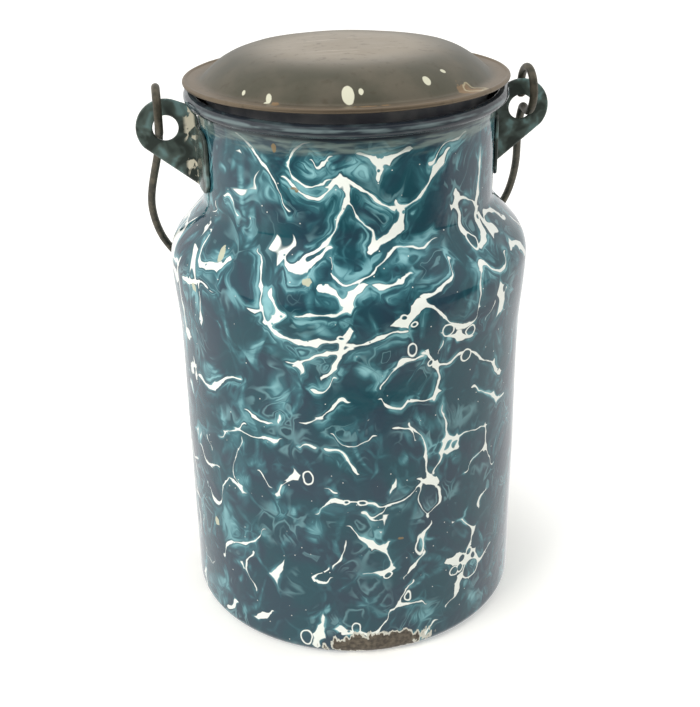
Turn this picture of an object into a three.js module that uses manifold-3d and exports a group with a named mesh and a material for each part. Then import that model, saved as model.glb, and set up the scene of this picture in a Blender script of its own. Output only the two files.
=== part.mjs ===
// Lidded milk pail of enamelled sheet steel, with a loose tin lid and a wire bail.
// Units are millimetres and +Z is up. The origin is the middle of the flat bottom, on the pail's axis.
// The two ears stand on the X axis, so the bail swings about a line along X. The front faces -Y.

import * as THREE from "three";
import { mergeVertices } from "three/addons/utils/BufferGeometryUtils.js";
import Module from "manifold-3d";

const library = await Module();
library.setup();

const degrees = THREE.MathUtils.degToRad;
const fullTurn = 2 * Math.PI;
const quarterTurn = Math.PI / 2;

// Fineness of the round shapes, as counts
const turnSteps = 48;
const arcSteps = 4;
const beadSteps = 10;
const hemSteps = 8;
const wireSides = 8;

// Points of a profile that are closer than this count as one
const sameSpot = 0.003;

// Air left between pieces that only touch
const seatGap = 0.3;

// Pail body: enamelled sheet, drawn into one shell
const wall = 1.2;
const bodyRadius = 64;
const bottomEdgeRadius = 4.2;
const straightHeight = 112;
const swell = 1.75;
const swellHeight = 29.2;
const shoulderRadius = 13.8;
const shoulderLean = degrees(41.5);
const neckFilletRadius = 5.5;
const neckInset = 11.5;
const neckRadius = bodyRadius - neckInset;
const neckHeight = 36.4;
const flareHeight = 9;
const beadRadius = 2.25;
const beadOffset = 2.5;
const beadJoinAngle = degrees(225);

// Ears: stamped lugs with a saddle foot that lies on the neck
const lugThickness = 1.6;
const lugEdge = 0.25;
const lugReach = 11.6;
const lugDrop = 10.25;
const lugHeadRadius = 10.3;
const lugHoleRadius = 4.5;
const lugCornerAngle = degrees(-40);
const lugUndersideSlope = degrees(38.7);
const lugTopAngle = degrees(112);
const footThickness = 1.1;
const footHalfWidth = 15;
const footTopDrop = 9.5;
const footHeight = 22;
const footCornerRadius = 5;

// Bail: one length of wire with an eye at each end
const wireRadius = 1.45;
const eyeRadius = 7.8;
const eyeBendRadius = 2.4;
const eyeTipGap = 1;
const hangAngle = degrees(-33);
const bailStandOff = 7;
const bailHalfWidth = bodyRadius + bailStandOff;
const bailLegLength = 51;

// Lid: a domed tin cover with a hemmed edge, and a collar that plugs the neck
const tin = 0.8;
const domeInset = 1.95;
const domeHeight = 10.7;
const crownRadius = 31.8;
const crownDrop = 1.15;
const domeFilletRadius = 2;
const hemRadius = 0.8;
const lidFrontRise = 4;
const collarClearance = 1.2;
const collarDepth = 13;
const collarTaper = 0.6;
const collarThickness = 0.6;
const collarHemRadius = 0.7;
const seamWidth = 7;
const seamThickness = 0.6;

// Points of an arc in a profile, from one angle to the other
function arc(centreX, centreY, radius, from, to, steps = arcSteps) {
  return Array.from({ length: steps + 1 }, (_, i) => {
    const angle = from + ((to - from) * i) / steps;
    return new THREE.Vector2(centreX + radius * Math.cos(angle), centreY + radius * Math.sin(angle));
  });
}

// A gentle S from one point to another, upright at both ends
function ease(start, end, steps = arcSteps) {
  return Array.from({ length: steps + 1 }, (_, i) => {
    const t = i / steps;
    const x = THREE.MathUtils.lerp(start.x, end.x, THREE.MathUtils.smoothstep(t, 0, 1));
    return new THREE.Vector2(x, THREE.MathUtils.lerp(start.y, end.y, t));
  });
}

// Drop points that repeat the one before
function tidy(points) {
  return points.filter((p, i) => i === 0 || p.distanceTo(points[i - 1]) > sameSpot);
}

// The same profile moved to its left by a distance, with mitred corners
function offset(points, distance) {
  return points.map((p, i) => {
    const before = points[Math.max(i - 1, 0)];
    const after = points[Math.min(i + 1, points.length - 1)];
    const a = (i === 0 ? after.clone().sub(p) : p.clone().sub(before)).normalize();
    const b = (i === points.length - 1 ? a.clone() : after.clone().sub(p)).normalize();
    const mid = a.clone().add(b).normalize();
    const reach = distance / mid.dot(b);
    return new THREE.Vector2(p.x - mid.y * reach, p.y + mid.x * reach);
  });
}

// Height of a profile where it passes a radius, going along it from the outside
function heightAt(points, radius) {
  for (let i = 1; i < points.length; i += 1) {
    const [a, b] = [points[i - 1], points[i]];
    if ((a.x - radius) * (b.x - radius) <= 0 && a.x !== b.x) {
      return THREE.MathUtils.lerp(a.y, b.y, (radius - a.x) / (b.x - a.x));
    }
  }
  return points.at(-1).y;
}

// One closed mesh: shared corners, and no triangle that has shrunk to a line
function closed(geometry) {
  const bare = geometry.clone();
  bare.deleteAttribute("normal");
  bare.deleteAttribute("uv");
  const merged = mergeVertices(bare);
  const old = merged.index.array;
  const kept = [];
  for (let i = 0; i < old.length; i += 3) {
    const [a, b, c] = [old[i], old[i + 1], old[i + 2]];
    if (a !== b && b !== c && c !== a) kept.push(a, b, c);
  }
  merged.setIndex(kept);
  return merged;
}

function toSolid(geometry) {
  const mesh = closed(geometry);
  const vertProperties = new Float32Array(mesh.attributes.position.array);
  const triVerts = new Uint32Array(mesh.index.array);
  return new library.Manifold(new library.Mesh({ numProp: 3, vertProperties, triVerts }));
}

function toGeometry(solid) {
  const mesh = solid.getMesh();
  const geometry = new THREE.BufferGeometry();
  geometry.setAttribute("position", new THREE.BufferAttribute(mesh.vertProperties, mesh.numProp));
  geometry.setIndex(new THREE.BufferAttribute(mesh.triVerts, 1));
  return geometry;
}

// A round solid about the Z axis, from a profile of radii and heights
function revolve(points) {
  const geometry = new THREE.LatheGeometry(tidy(points), turnSteps);
  geometry.rotateX(quarterTurn);
  return closed(geometry);
}

function named(name, geometry, color, roughness, metalness) {
  geometry.computeVertexNormals();
  const material = new THREE.MeshStandardMaterial({ color, roughness, metalness, flatShading: true });
  const mesh = new THREE.Mesh(geometry, material);
  mesh.name = name;
  return mesh;
}

// Body outline, worked out from the bottom up
const shoulderHeight = straightHeight + swellHeight;
const swollenRadius = bodyRadius + swell;
const bottomEdge = arc(bodyRadius - bottomEdgeRadius, bottomEdgeRadius, bottomEdgeRadius, -quarterTurn, 0);
const swellCurve = ease(
  new THREE.Vector2(bodyRadius, straightHeight),
  new THREE.Vector2(swollenRadius, shoulderHeight),
);
const shoulderArc = arc(swollenRadius - shoulderRadius, shoulderHeight, shoulderRadius, 0, shoulderLean);
const shoulderEnd = shoulderArc.at(-1);
const filletStartRadius = neckRadius + neckFilletRadius * (1 - Math.cos(shoulderLean));
const coneLength = Math.max(shoulderEnd.x - filletStartRadius, 0) / Math.sin(shoulderLean);
const filletHeight =
  shoulderEnd.y + coneLength * Math.cos(shoulderLean) + neckFilletRadius * Math.sin(shoulderLean);
const neckFillet = arc(
  neckRadius + neckFilletRadius, filletHeight, neckFilletRadius, Math.PI + shoulderLean, Math.PI,
);
const beadHeight = filletHeight + neckHeight;
const beadCentreRadius = neckRadius + beadOffset;
const beadTop = beadHeight + beadRadius;
const bead = arc(beadCentreRadius, beadHeight, beadRadius, beadJoinAngle - fullTurn, Math.PI, beadSteps);
const flareBottom = beadHeight - flareHeight;
const outerFlare = ease(new THREE.Vector2(neckRadius, flareBottom), bead[0]);
const neckInnerRadius = neckRadius - wall;
const innerFlare = ease(bead.at(-1), new THREE.Vector2(neckInnerRadius, flareBottom));
const lowerOutside = tidy([...bottomEdge, ...swellCurve, ...shoulderArc, ...neckFillet]);

function pailBody() {
  const lowerInside = offset(lowerOutside, wall).reverse();
  const profile = [
    new THREE.Vector2(0, 0),
    ...lowerOutside,
    ...outerFlare,
    ...bead,
    ...innerFlare,
    ...lowerInside,
    new THREE.Vector2(0, wall),
  ];
  return revolve(profile);
}

// Everything within the seat gap of the neck and bead, as a tool that trims what stands on them
function neckTool() {
  const skin = offset(tidy([...neckFillet, ...outerFlare, ...bead]), -seatGap);
  const profile = [
    new THREE.Vector2(0, skin[0].y),
    ...skin,
    new THREE.Vector2(0, skin.at(-1).y),
  ];
  return toSolid(revolve(profile));
}

// Ears, measured from the middle of the hole
const holeX = neckRadius + lugReach;
const holeZ = beadHeight - lugDrop;
const lugRoot = -(lugReach + wall);

function lugPlate() {
  const corner = new THREE.Vector2(Math.cos(lugCornerAngle), Math.sin(lugCornerAngle));
  corner.multiplyScalar(lugHeadRadius);
  const top = new THREE.Vector2(Math.cos(lugTopAngle), Math.sin(lugTopAngle)).multiplyScalar(lugHeadRadius);
  const outline = new THREE.Shape();
  outline.moveTo(lugRoot, corner.y - (corner.x - lugRoot) * Math.tan(lugUndersideSlope));
  outline.lineTo(corner.x, corner.y);
  outline.absarc(0, 0, lugHeadRadius, lugCornerAngle, lugTopAngle, false);
  outline.lineTo(lugRoot, top.y - (top.x - lugRoot) * Math.tan(lugTopAngle - quarterTurn));
  outline.closePath();
  const hole = new THREE.Path();
  hole.absarc(0, 0, lugHoleRadius, 0, fullTurn, true);
  outline.holes.push(hole);
  const depth = lugThickness - 2 * lugEdge;
  const geometry = new THREE.ExtrudeGeometry(outline, {
    depth,
    curveSegments: turnSteps / 2,
    bevelThickness: lugEdge,
    bevelSize: lugEdge,
    bevelOffset: -lugEdge,
    bevelSegments: 1,
  });
  geometry.translate(0, 0, -depth / 2);
  geometry.rotateX(quarterTurn);
  geometry.translate(holeX, 0, holeZ);
  return toSolid(geometry);
}

function roundedRectangle(halfWidth, bottom, top, radius) {
  const shape = new THREE.Shape();
  shape.absarc(halfWidth - radius, bottom + radius, radius, -quarterTurn, 0, false);
  shape.absarc(halfWidth - radius, top - radius, radius, 0, quarterTurn, false);
  shape.absarc(radius - halfWidth, top - radius, radius, quarterTurn, Math.PI, false);
  shape.absarc(radius - halfWidth, bottom + radius, radius, Math.PI, Math.PI + quarterTurn, false);
  shape.closePath();
  return shape;
}

// The foot is a curved strip round the neck, with its corners rounded off
function saddleFoot() {
  const outside = neckRadius + seatGap + footThickness;
  const bottom = beadHeight - footTopDrop - footHeight;
  const strip = new THREE.CylinderGeometry(outside, outside, footHeight, 2 * turnSteps);
  strip.rotateX(quarterTurn);
  strip.translate(0, 0, bottom + footHeight / 2);
  const outline = roundedRectangle(footHalfWidth, bottom, bottom + footHeight, footCornerRadius);
  const cutter = new THREE.ExtrudeGeometry(outline, {
    depth: outside + wall,
    curveSegments: arcSteps,
    bevelEnabled: false,
  });
  cutter.rotateX(quarterTurn);
  cutter.rotateZ(quarterTurn);
  return toSolid(strip).intersect(toSolid(cutter));
}

function ear() {
  return toGeometry(lugPlate().add(saddleFoot()).subtract(neckTool()));
}

// The wire lies low in the outer side of each hole, and the eye's centre is on the swing axis
const wireInHole = lugHoleRadius - wireRadius - seatGap;
const eyeX = holeX + wireInHole * Math.cos(hangAngle);
const swingHeight = holeZ + wireInHole * Math.sin(hangAngle) + eyeRadius;
const bailReach = bailLegLength + bailHalfWidth;
const restLean = Math.asin((bodyRadius + wireRadius + seatGap) / bailReach);

// A place beside the swing axis, from a distance and an angle above the rear horizontal
function aroundAxis(x, distance, angle) {
  return new THREE.Vector3(x, distance * Math.cos(angle), swingHeight + distance * Math.sin(angle));
}

// Wire from the tip of one eye, through the hole and down the leg, to the middle of the arch
function halfBail() {
  const legAngle = restLean - quarterTurn;
  const bendDistance = eyeRadius + eyeBendRadius;
  const bendTurn = Math.asin(eyeBendRadius / bendDistance);
  const tipAngle = legAngle + (2 * wireRadius + eyeTipGap) / eyeRadius;
  const eyeEnd = legAngle - bendTurn + fullTurn;
  const points = [];
  const eyeSteps = 5 * arcSteps;
  for (let i = 0; i <= eyeSteps; i += 1) {
    points.push(aroundAxis(eyeX, eyeRadius, THREE.MathUtils.lerp(tipAngle, eyeEnd, i / eyeSteps)));
  }
  const bendCentre = aroundAxis(eyeX, bendDistance, eyeEnd);
  const towardsEye = eyeEnd + Math.PI;
  const bendEnd = legAngle + quarterTurn;
  for (let i = 1; i <= arcSteps; i += 1) {
    const angle = THREE.MathUtils.lerp(towardsEye - fullTurn, bendEnd, i / arcSteps);
    const step = new THREE.Vector3(0, Math.cos(angle), Math.sin(angle)).multiplyScalar(eyeBendRadius);
    points.push(bendCentre.clone().add(step));
  }
  const legStart = Math.sqrt(bendDistance ** 2 - eyeBendRadius ** 2);
  const legSteps = 2 * arcSteps;
  for (let i = 1; i <= legSteps; i += 1) {
    const t = i / legSteps;
    const x = THREE.MathUtils.lerp(eyeX, bailHalfWidth, THREE.MathUtils.smoothstep(t, 0, 1));
    points.push(aroundAxis(x, THREE.MathUtils.lerp(legStart, bailLegLength, t), legAngle));
  }
  const archSteps = 4 * arcSteps;
  for (let i = 1; i <= archSteps; i += 1) {
    const angle = (quarterTurn * i) / archSteps;
    const distance = bailLegLength + bailHalfWidth * Math.sin(angle);
    points.push(aroundAxis(bailHalfWidth * Math.cos(angle), distance, legAngle));
  }
  return points;
}

// A round wire along a list of points, with flat ends
function wireAlong(points) {
  const count = points.length;
  const corners = [];
  const faces = [];
  const side = new THREE.Vector3(1, 0, 0);
  points.forEach((point, i) => {
    const before = points[Math.max(i - 1, 0)];
    const after = points[Math.min(i + 1, count - 1)];
    const along = after.clone().sub(before).normalize();
    side.addScaledVector(along, -side.dot(along)).normalize();
    const up = along.clone().cross(side);
    for (let k = 0; k < wireSides; k += 1) {
      const angle = (fullTurn * k) / wireSides;
      const corner = point.clone();
      corner.addScaledVector(side, wireRadius * Math.cos(angle));
      corner.addScaledVector(up, wireRadius * Math.sin(angle));
      corners.push(...corner.toArray());
    }
  });
  const ring = (i, k) => i * wireSides + (k % wireSides);
  for (let i = 0; i < count - 1; i += 1) {
    for (let k = 0; k < wireSides; k += 1) {
      faces.push(ring(i, k), ring(i, k + 1), ring(i + 1, k + 1));
      faces.push(ring(i, k), ring(i + 1, k + 1), ring(i + 1, k));
    }
  }
  for (let k = 1; k < wireSides - 1; k += 1) {
    faces.push(ring(0, 0), ring(0, k + 1), ring(0, k));
    faces.push(ring(count - 1, 0), ring(count - 1, k), ring(count - 1, k + 1));
  }
  const geometry = new THREE.BufferGeometry();
  geometry.setAttribute("position", new THREE.Float32BufferAttribute(corners, 3));
  geometry.setIndex(faces);
  return geometry;
}

function bail() {
  const right = halfBail();
  const left = right.slice(0, -1).reverse();
  const mirrored = left.map((p) => new THREE.Vector3(-p.x, p.y, p.z));
  return wireAlong([...right, ...mirrored]);
}

// Lid outline in its own frame: the flange's underside is at height zero
const lidRadius = beadCentreRadius + beadRadius;
const domeRadius = neckRadius - domeInset;
const crownSphere = crownRadius ** 2 / (2 * crownDrop);
const crownLean = Math.asin(crownRadius / crownSphere);
const crownEdge = new THREE.Vector2(crownRadius, domeHeight - crownSphere * (1 - Math.cos(crownLean)));
const sideRun = domeRadius - crownEdge.x;
const sideDrop = crownEdge.y * Math.cos(crownLean) - sideRun * Math.sin(crownLean);
const sideRadius = (sideRun ** 2 + crownEdge.y ** 2) / (2 * sideDrop);
const sideCentre = new THREE.Vector2(
  crownEdge.x - sideRadius * Math.sin(crownLean),
  crownEdge.y - sideRadius * Math.cos(crownLean),
);
const filletX =
  sideCentre.x + Math.sqrt((sideRadius + domeFilletRadius) ** 2 - (domeFilletRadius - sideCentre.y) ** 2);
const sideEnd = Math.atan2(domeFilletRadius - sideCentre.y, filletX - sideCentre.x);
const crownCurve = arc(
  0, domeHeight - crownSphere, crownSphere, quarterTurn, quarterTurn - crownLean,
);
const sideCurve = arc(
  sideCentre.x, sideCentre.y, sideRadius, quarterTurn - crownLean, sideEnd, arcSteps + 1,
);
const domeFillet = arc(
  filletX, domeFilletRadius, domeFilletRadius, Math.PI + sideEnd, Math.PI + quarterTurn, arcSteps - 1,
);
const lidOutline = tidy([...crownCurve, ...sideCurve, ...domeFillet]);
const topOfLid = lidOutline.map((p) => new THREE.Vector2(p.x, p.y + tin));
const underLid = offset(topOfLid, -tin).reverse();

function lidCover() {
  const hemJoin = Math.asin(tin / 2 / hemRadius);
  const hem = arc(
    lidRadius - hemRadius, tin / 2, hemRadius, Math.PI - hemJoin, hemJoin - Math.PI, hemSteps,
  );
  const profile = [...topOfLid, ...hem, ...underLid];
  profile[0].x = 0;
  profile.at(-1).x = 0;
  return revolve(profile.reverse());
}

// The collar stands in the root of the dome and reaches down into the neck
const collarRadius = neckInnerRadius - collarClearance;
const collarTop = heightAt(underLid, collarRadius) - seatGap;

function lidCollar() {
  const foot = collarRadius - collarTaper;
  const hemX = foot - collarHemRadius;
  const hemZ = collarHemRadius - collarDepth;
  const hemJoin = Math.acos(1 - collarThickness / collarHemRadius);
  const profile = [
    new THREE.Vector2(collarRadius - collarThickness, collarTop),
    ...arc(hemX, hemZ, collarHemRadius, hemJoin - fullTurn, 0, hemSteps),
    new THREE.Vector2(collarRadius, collarTop),
    new THREE.Vector2(collarRadius - collarThickness, collarTop),
  ];
  const ring = toSolid(revolve(profile));
  const seamTop = collarTop;
  const seamBottom = hemZ + collarHemRadius;
  const inner = foot - collarThickness - seamThickness;
  const seam = new THREE.BoxGeometry(seamWidth, foot - inner, seamTop - seamBottom);
  seam.translate(0, (foot + inner) / 2 - collarThickness / 2, (seamTop + seamBottom) / 2);
  return toGeometry(ring.add(toSolid(seam)));
}

// The lid is laid on as photographed: down on the bead at the back, raised at the front
const lidTilt = Math.asin(lidFrontRise / (2 * lidRadius));
const lidSeat = beadTop + seatGap + beadCentreRadius * Math.tan(lidTilt);

const enamelColor = "#3c5a62";
const earColor = "#4d625e";
const tinColor = "#7a7564";
const wireColor = "#4f4b43";

const pail = new THREE.Group();
pail.add(named("pail_body", pailBody(), enamelColor, 0.12, 0));

const earRight = named("ear_right", ear(), earColor, 0.3, 0.1);
pail.add(earRight);
const earLeft = named("ear_left", ear(), earColor, 0.3, 0.1);
earLeft.rotation.z = Math.PI;
pail.add(earLeft);

pail.add(named("bail", bail(), wireColor, 0.6, 0.7));

const lid = new THREE.Group();
lid.add(named("lid_cover", lidCover(), tinColor, 0.5, 0.6));
lid.add(named("lid_collar", lidCollar(), tinColor, 0.5, 0.6));
lid.position.z = lidSeat;
lid.rotation.x = -lidTilt;
pail.add(lid);

const swing = THREE.MathUtils.radToDeg(fullTurn - 2 * restLean);
console.log(`swing axis at height ${swingHeight.toFixed(3)}, eyes at ${eyeX.toFixed(3)}`);
console.log(`swing ${swing.toFixed(2)} degrees from the rear of the body to its front`);
console.log(`hole at ${holeX.toFixed(2)}, ${holeZ.toFixed(2)}; bead at ${beadHeight.toFixed(2)}`);
console.log(`lid seat ${lidSeat.toFixed(2)}, tilt ${THREE.MathUtils.radToDeg(lidTilt).toFixed(2)} degrees`);

export default pail;
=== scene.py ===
# %% [markdown]
# # An enamelled milk pail with a tin lid
#
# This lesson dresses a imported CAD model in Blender. The pail is a round steel can, dipped in slate
# teal glass enamel with cream-white veins. It has two small ears, a swinging bail of dark wire and a
# loose domed lid of bare tinplate. Every length on the pail is in millimetres and is turned into
# metres when a mesh is made, so the numbers can be set beside the part's own drawing. The room round
# it, with its paper floor and its lamps, is in metres, as Blender itself is.

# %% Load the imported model
import math

import bmesh
import bpy
import numpy as np
from mathutils import Matrix, Vector, noise


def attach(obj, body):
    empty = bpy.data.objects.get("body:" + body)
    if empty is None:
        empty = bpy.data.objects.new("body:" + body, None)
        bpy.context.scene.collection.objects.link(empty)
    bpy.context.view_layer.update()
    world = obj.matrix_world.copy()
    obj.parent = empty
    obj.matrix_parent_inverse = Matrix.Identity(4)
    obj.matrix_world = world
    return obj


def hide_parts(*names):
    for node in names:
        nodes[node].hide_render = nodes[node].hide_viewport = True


MM = 0.001
QUARTER = math.pi / 2

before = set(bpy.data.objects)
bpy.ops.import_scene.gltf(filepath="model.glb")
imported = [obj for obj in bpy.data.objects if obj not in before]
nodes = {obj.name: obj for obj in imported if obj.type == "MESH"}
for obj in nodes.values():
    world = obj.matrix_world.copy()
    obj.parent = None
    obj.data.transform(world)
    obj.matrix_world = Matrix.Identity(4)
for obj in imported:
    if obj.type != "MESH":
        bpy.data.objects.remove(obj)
scene = bpy.context.scene
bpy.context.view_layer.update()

# %% [markdown]
# ## The camera
#
# The photograph was taken from about 43 centimetres in front of the pail's middle and 9 centimetres
# above its lid, so the rim shows as a flat ellipse. A camera could be moved by hand until the picture
# fits, but this one was solved: its place, tilt and focal length come from the round rim, the body's
# sides and the curve of its bottom edge. The pail is turned about nine degrees, so here the camera is
# turned the other way and the pail keeps its frame.

# %% Place the camera
FOCAL_PIXELS = 1220
LONG_SIDE_PIXELS = 707
PITCH_DOWN = math.radians(26.21)
YAW = math.radians(0.34)
ROLL = math.radians(0.89)
PAIL_TURN = math.radians(9.17)
CAMERA_PLACE = Vector((-2.69, -427.0, 305.9))


def camera_matrix():
    """The camera's place and directions in the pail's own frame."""
    ahead = Vector((
        math.sin(YAW) * math.cos(PITCH_DOWN),
        math.cos(YAW) * math.cos(PITCH_DOWN),
        -math.sin(PITCH_DOWN),
    ))
    level = Vector((math.cos(YAW), -math.sin(YAW), 0))
    down = ahead.cross(level)
    right = level * math.cos(ROLL) + down * math.sin(ROLL)
    below = down * math.cos(ROLL) - level * math.sin(ROLL)
    turn = Matrix.Rotation(-PAIL_TURN, 3, "Z")
    columns = [turn @ v for v in (right, -below, -ahead)]
    matrix = Matrix(columns).transposed().to_4x4()
    matrix.translation = turn @ CAMERA_PLACE * MM
    return matrix


camera = bpy.data.objects.new("camera", bpy.data.cameras.new("camera"))
camera.data.sensor_width = 36
camera.data.lens = FOCAL_PIXELS * camera.data.sensor_width / LONG_SIDE_PIXELS
camera.data.clip_start = 0.01
camera.matrix_world = camera_matrix()
scene.collection.objects.link(camera)
scene.camera = camera
print("camera at", [round(v, 4) for v in camera.matrix_world.translation])
print("lens in millimetres:", round(camera.data.lens, 2))

# %% [markdown]
# ## A small language for materials
#
# A procedural material is mostly arithmetic, and arithmetic drawn as boxes is hard to read. So one
# small class stands for an output of a node, and Python's own operators on it add Math nodes.


# %% Write shader maths as Python
class Value:
    """One output of a shader node, on which the usual operators add Math nodes."""

    def __init__(self, shader, socket):
        self.shader = shader
        self.socket = socket

    def math(self, operation, *values):
        sockets = dict(enumerate(values))
        return self.shader.node("ShaderNodeMath", {"operation": operation}, sockets)

    def __add__(self, other):
        return self.math("ADD", self, other)

    def __radd__(self, other):
        return self.math("ADD", other, self)

    def __sub__(self, other):
        return self.math("SUBTRACT", self, other)

    def __rsub__(self, other):
        return self.math("SUBTRACT", other, self)

    def __mul__(self, other):
        return self.math("MULTIPLY", self, other)

    def __rmul__(self, other):
        return self.math("MULTIPLY", other, self)

    def __truediv__(self, other):
        return self.math("DIVIDE", self, other)

    def __rtruediv__(self, other):
        return self.math("DIVIDE", other, self)

    def __pow__(self, other):
        return self.math("POWER", self, other)

    def __abs__(self):
        return self.math("ABSOLUTE", self)

    def at_least(self, other):
        return self.math("MAXIMUM", self, other)

    def at_most(self, other):
        return self.math("MINIMUM", self, other)

    def melt_into(self, other, reach):
        """The larger of the two, rounded where they meet."""
        return self.math("SMOOTH_MAX", self, other, reach)

    def step(self, low, high):
        """Zero at low and one at high, with a soft S between. High may be the smaller one."""
        sockets = {"Value": self, "From Min": low, "From Max": high}
        settings = {"interpolation_type": "SMOOTHSTEP"}
        return self.shader.node("ShaderNodeMapRange", settings, sockets)

    def fit(self, low, high):
        """This value, which runs from zero to one, on the range from low to high."""
        return self * (high - low) + low


print("operators ready on", Value.__name__)

# %% [markdown]
# A second class holds a material or a world. One method adds any node: its settings, then the values
# or links of its sockets. Two more are short ways to the nodes that are used most.


# %% Add any node
class Shader:
    """A material or world and the nodes in it."""

    def __init__(self, owner):
        owner.use_nodes = True
        self.owner = owner
        self.tree = owner.node_tree
        self.tree.nodes.clear()

    def node(self, kind, settings=None, sockets=None, output=0):
        """Adds a node: its settings come first, and then the values or links of its sockets."""
        made = self.tree.nodes.new(kind)
        for key, value in (settings or {}).items():
            if key == "curve":
                # A curve's points are lengths here, so they aren't clipped to the range from 0 to 1
                made.mapping.use_clip = False
                dots = made.mapping.curves[0].points
                while len(dots) < len(value):
                    dots.new(0.5, 0.5)
                for dot, place in zip(dots, value):
                    dot.location = place
                    dot.handle_type = "AUTO_CLAMPED"
                made.mapping.update()
            else:
                setattr(made, key, value)
        for key, value in (sockets or {}).items():
            if isinstance(value, Value):
                self.tree.links.new(value.socket, made.inputs[key])
            else:
                made.inputs[key].default_value = value
        return Value(self, made.outputs[output])

    def vector(self, operation, *values, output=0):
        sockets = dict(enumerate(values))
        return self.node("ShaderNodeVectorMath", {"operation": operation}, sockets, output)

    def mix(self, factor, a, b):
        """Colour a where the factor is zero, and colour b where it is one."""
        sockets = {0: factor, 6: a, 7: b}
        return self.node("ShaderNodeMix", {"data_type": "RGBA"}, sockets, output=2)

    def finish(self, surface, kind="ShaderNodeOutputMaterial"):
        """Joins the surface to an output node, and returns the material or world."""
        end = self.tree.nodes.new(kind)
        self.tree.links.new(surface.socket, end.inputs["Surface"])
        return self.owner

    def coat(self, sockets):
        """Finishes with Blender's main surface shader, which is given those sockets."""
        return self.finish(self.node("ShaderNodeBsdfPrincipled", None, sockets))


print("nodes ready on", Shader.__name__)

# %% [markdown]
# Colours are easier to compare with a photograph as the 0 to 255 numbers that a picture viewer shows.
# Blender's sockets want linear light, so one function turns one into the other.


# %% Colours and textures in millimetres
def tone(red, green, blue):
    """A colour as a picture shows it, as linear light. It holds for numbers over 10."""
    linear = [((shown / 255 + 0.055) / 1.055) ** 2.4 for shown in (red, green, blue)]
    return (*linear, 1)


def millimetres(shader):
    """The piece's own coordinates, which ride with it, in millimetres."""
    own = shader.node("ShaderNodeTexCoord", output="Object")
    return shader.vector("MULTIPLY", own, (1 / MM, 1 / MM, 1 / MM))


def split(shader, point):
    """The x, y and z of a vector."""
    made = shader.node("ShaderNodeSeparateXYZ", None, {0: point})
    outputs = made.socket.node.outputs
    return [Value(shader, outputs[k]) for k in range(3)]


def clouds(shader, point, size, seed, detail=2.0, stretch=(1, 1, 1), wander=0.0, output="Fac"):
    """Soft noise with blobs of about that size in millimetres."""
    scale = [1 / (size * s) for s in stretch]
    placed = shader.vector("MULTIPLY_ADD", point, scale, (seed * 3.7, seed * 1.3, seed * 7.1))
    sockets = {"Vector": placed, "Scale": 1.0, "Detail": detail, "Distortion": wander}
    return shader.node("ShaderNodeTexNoise", None, sockets, output)


def pebbles(shader, point, size, seed, feature="F1", stretch=(1, 1, 1), output="Distance"):
    """Cells of about that size in millimetres: a distance in cell sizes, or each cell's own colour."""
    scale = [1 / (size * s) for s in stretch]
    placed = shader.vector("MULTIPLY_ADD", point, scale, (seed * 5.3, seed * 2.9, seed * 4.7))
    sockets = {"Vector": placed, "Scale": 1.0}
    return shader.node("ShaderNodeTexVoronoi", {"feature": feature}, sockets, output)


def outside_ovals(shader, point, places):
    """How far outside the nearest of some ovals a point is, in millimetres, where z doesn't count.

    Each oval is the place of its middle and its two half sizes.
    """
    nearest = None
    for middle_x, middle_y, half_x, half_y in places:
        moved = shader.vector("SUBTRACT", point, (middle_x, middle_y, 0))
        scaled = shader.vector("MULTIPLY", moved, (1 / half_x, 1 / half_y, 0))
        away = (shader.vector("LENGTH", scaled, output="Value") - 1) * min(half_x, half_y)
        nearest = away if nearest is None else nearest.at_most(away)
    return nearest


print("mid grey as linear light:", [round(c, 3) for c in tone(128, 128, 128)])

# %% [markdown]
# ## Turned shapes
#
# The body, the lid and its collar are sheet metal formed on a lathe or in a round die. Their outlines
# are the part's own, with finer steps. Each outline is worked out from the named sizes, so every skin
# has a true thickness and the lid still drops into the neck. A Screw modifier could turn an outline,
# but a loop can also push each point a little, as a hand and a long life do.


# %% Outline helpers
def arc(centre, radius, start, end, steps):
    """Points on an arc of an outline."""
    angles = np.linspace(start, end, steps + 1)
    return [(centre[0] + radius * math.cos(a), centre[1] + radius * math.sin(a)) for a in angles]


def ease(start, end, steps):
    """A gentle S from one point to another, upright at both ends."""
    rows = []
    for t in np.linspace(0, 1, steps + 1):
        s = t * t * (3 - 2 * t)
        rows.append((start[0] + (end[0] - start[0]) * s, start[1] + (end[1] - start[1]) * t))
    return rows


def straight(start, end, steps):
    """Evenly spaced points on a line, without its ends."""
    start, end = np.array(start), np.array(end)
    return [tuple(start + (end - start) * t) for t in np.linspace(0, 1, steps + 1)[1:-1]]


def without_repeats(points, least=0.01):
    """The same points, without those that lie on the one before."""
    kept = [points[0]]
    for p in points[1:]:
        if math.dist(p, kept[-1]) > least:
            kept.append(p)
    return kept


def offset(points, distance):
    """The same outline moved to its left, with mitred corners."""
    pts = [Vector(p) for p in points]
    moved = []
    for i, p in enumerate(pts):
        a = (pts[1] - p if i == 0 else p - pts[i - 1]).normalized()
        b = (a if i == len(pts) - 1 else (pts[i + 1] - p).normalized())
        mid = (a + b).normalized()
        reach = distance / mid.dot(b)
        moved.append((p.x - mid.y * reach, p.y + mid.x * reach))
    return moved


quarter_circle = arc((0, 0), 4, 0, QUARTER, 2)
print("a quarter circle of radius 4:", [(round(a, 2), round(b, 2)) for a, b in quarter_circle])


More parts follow.
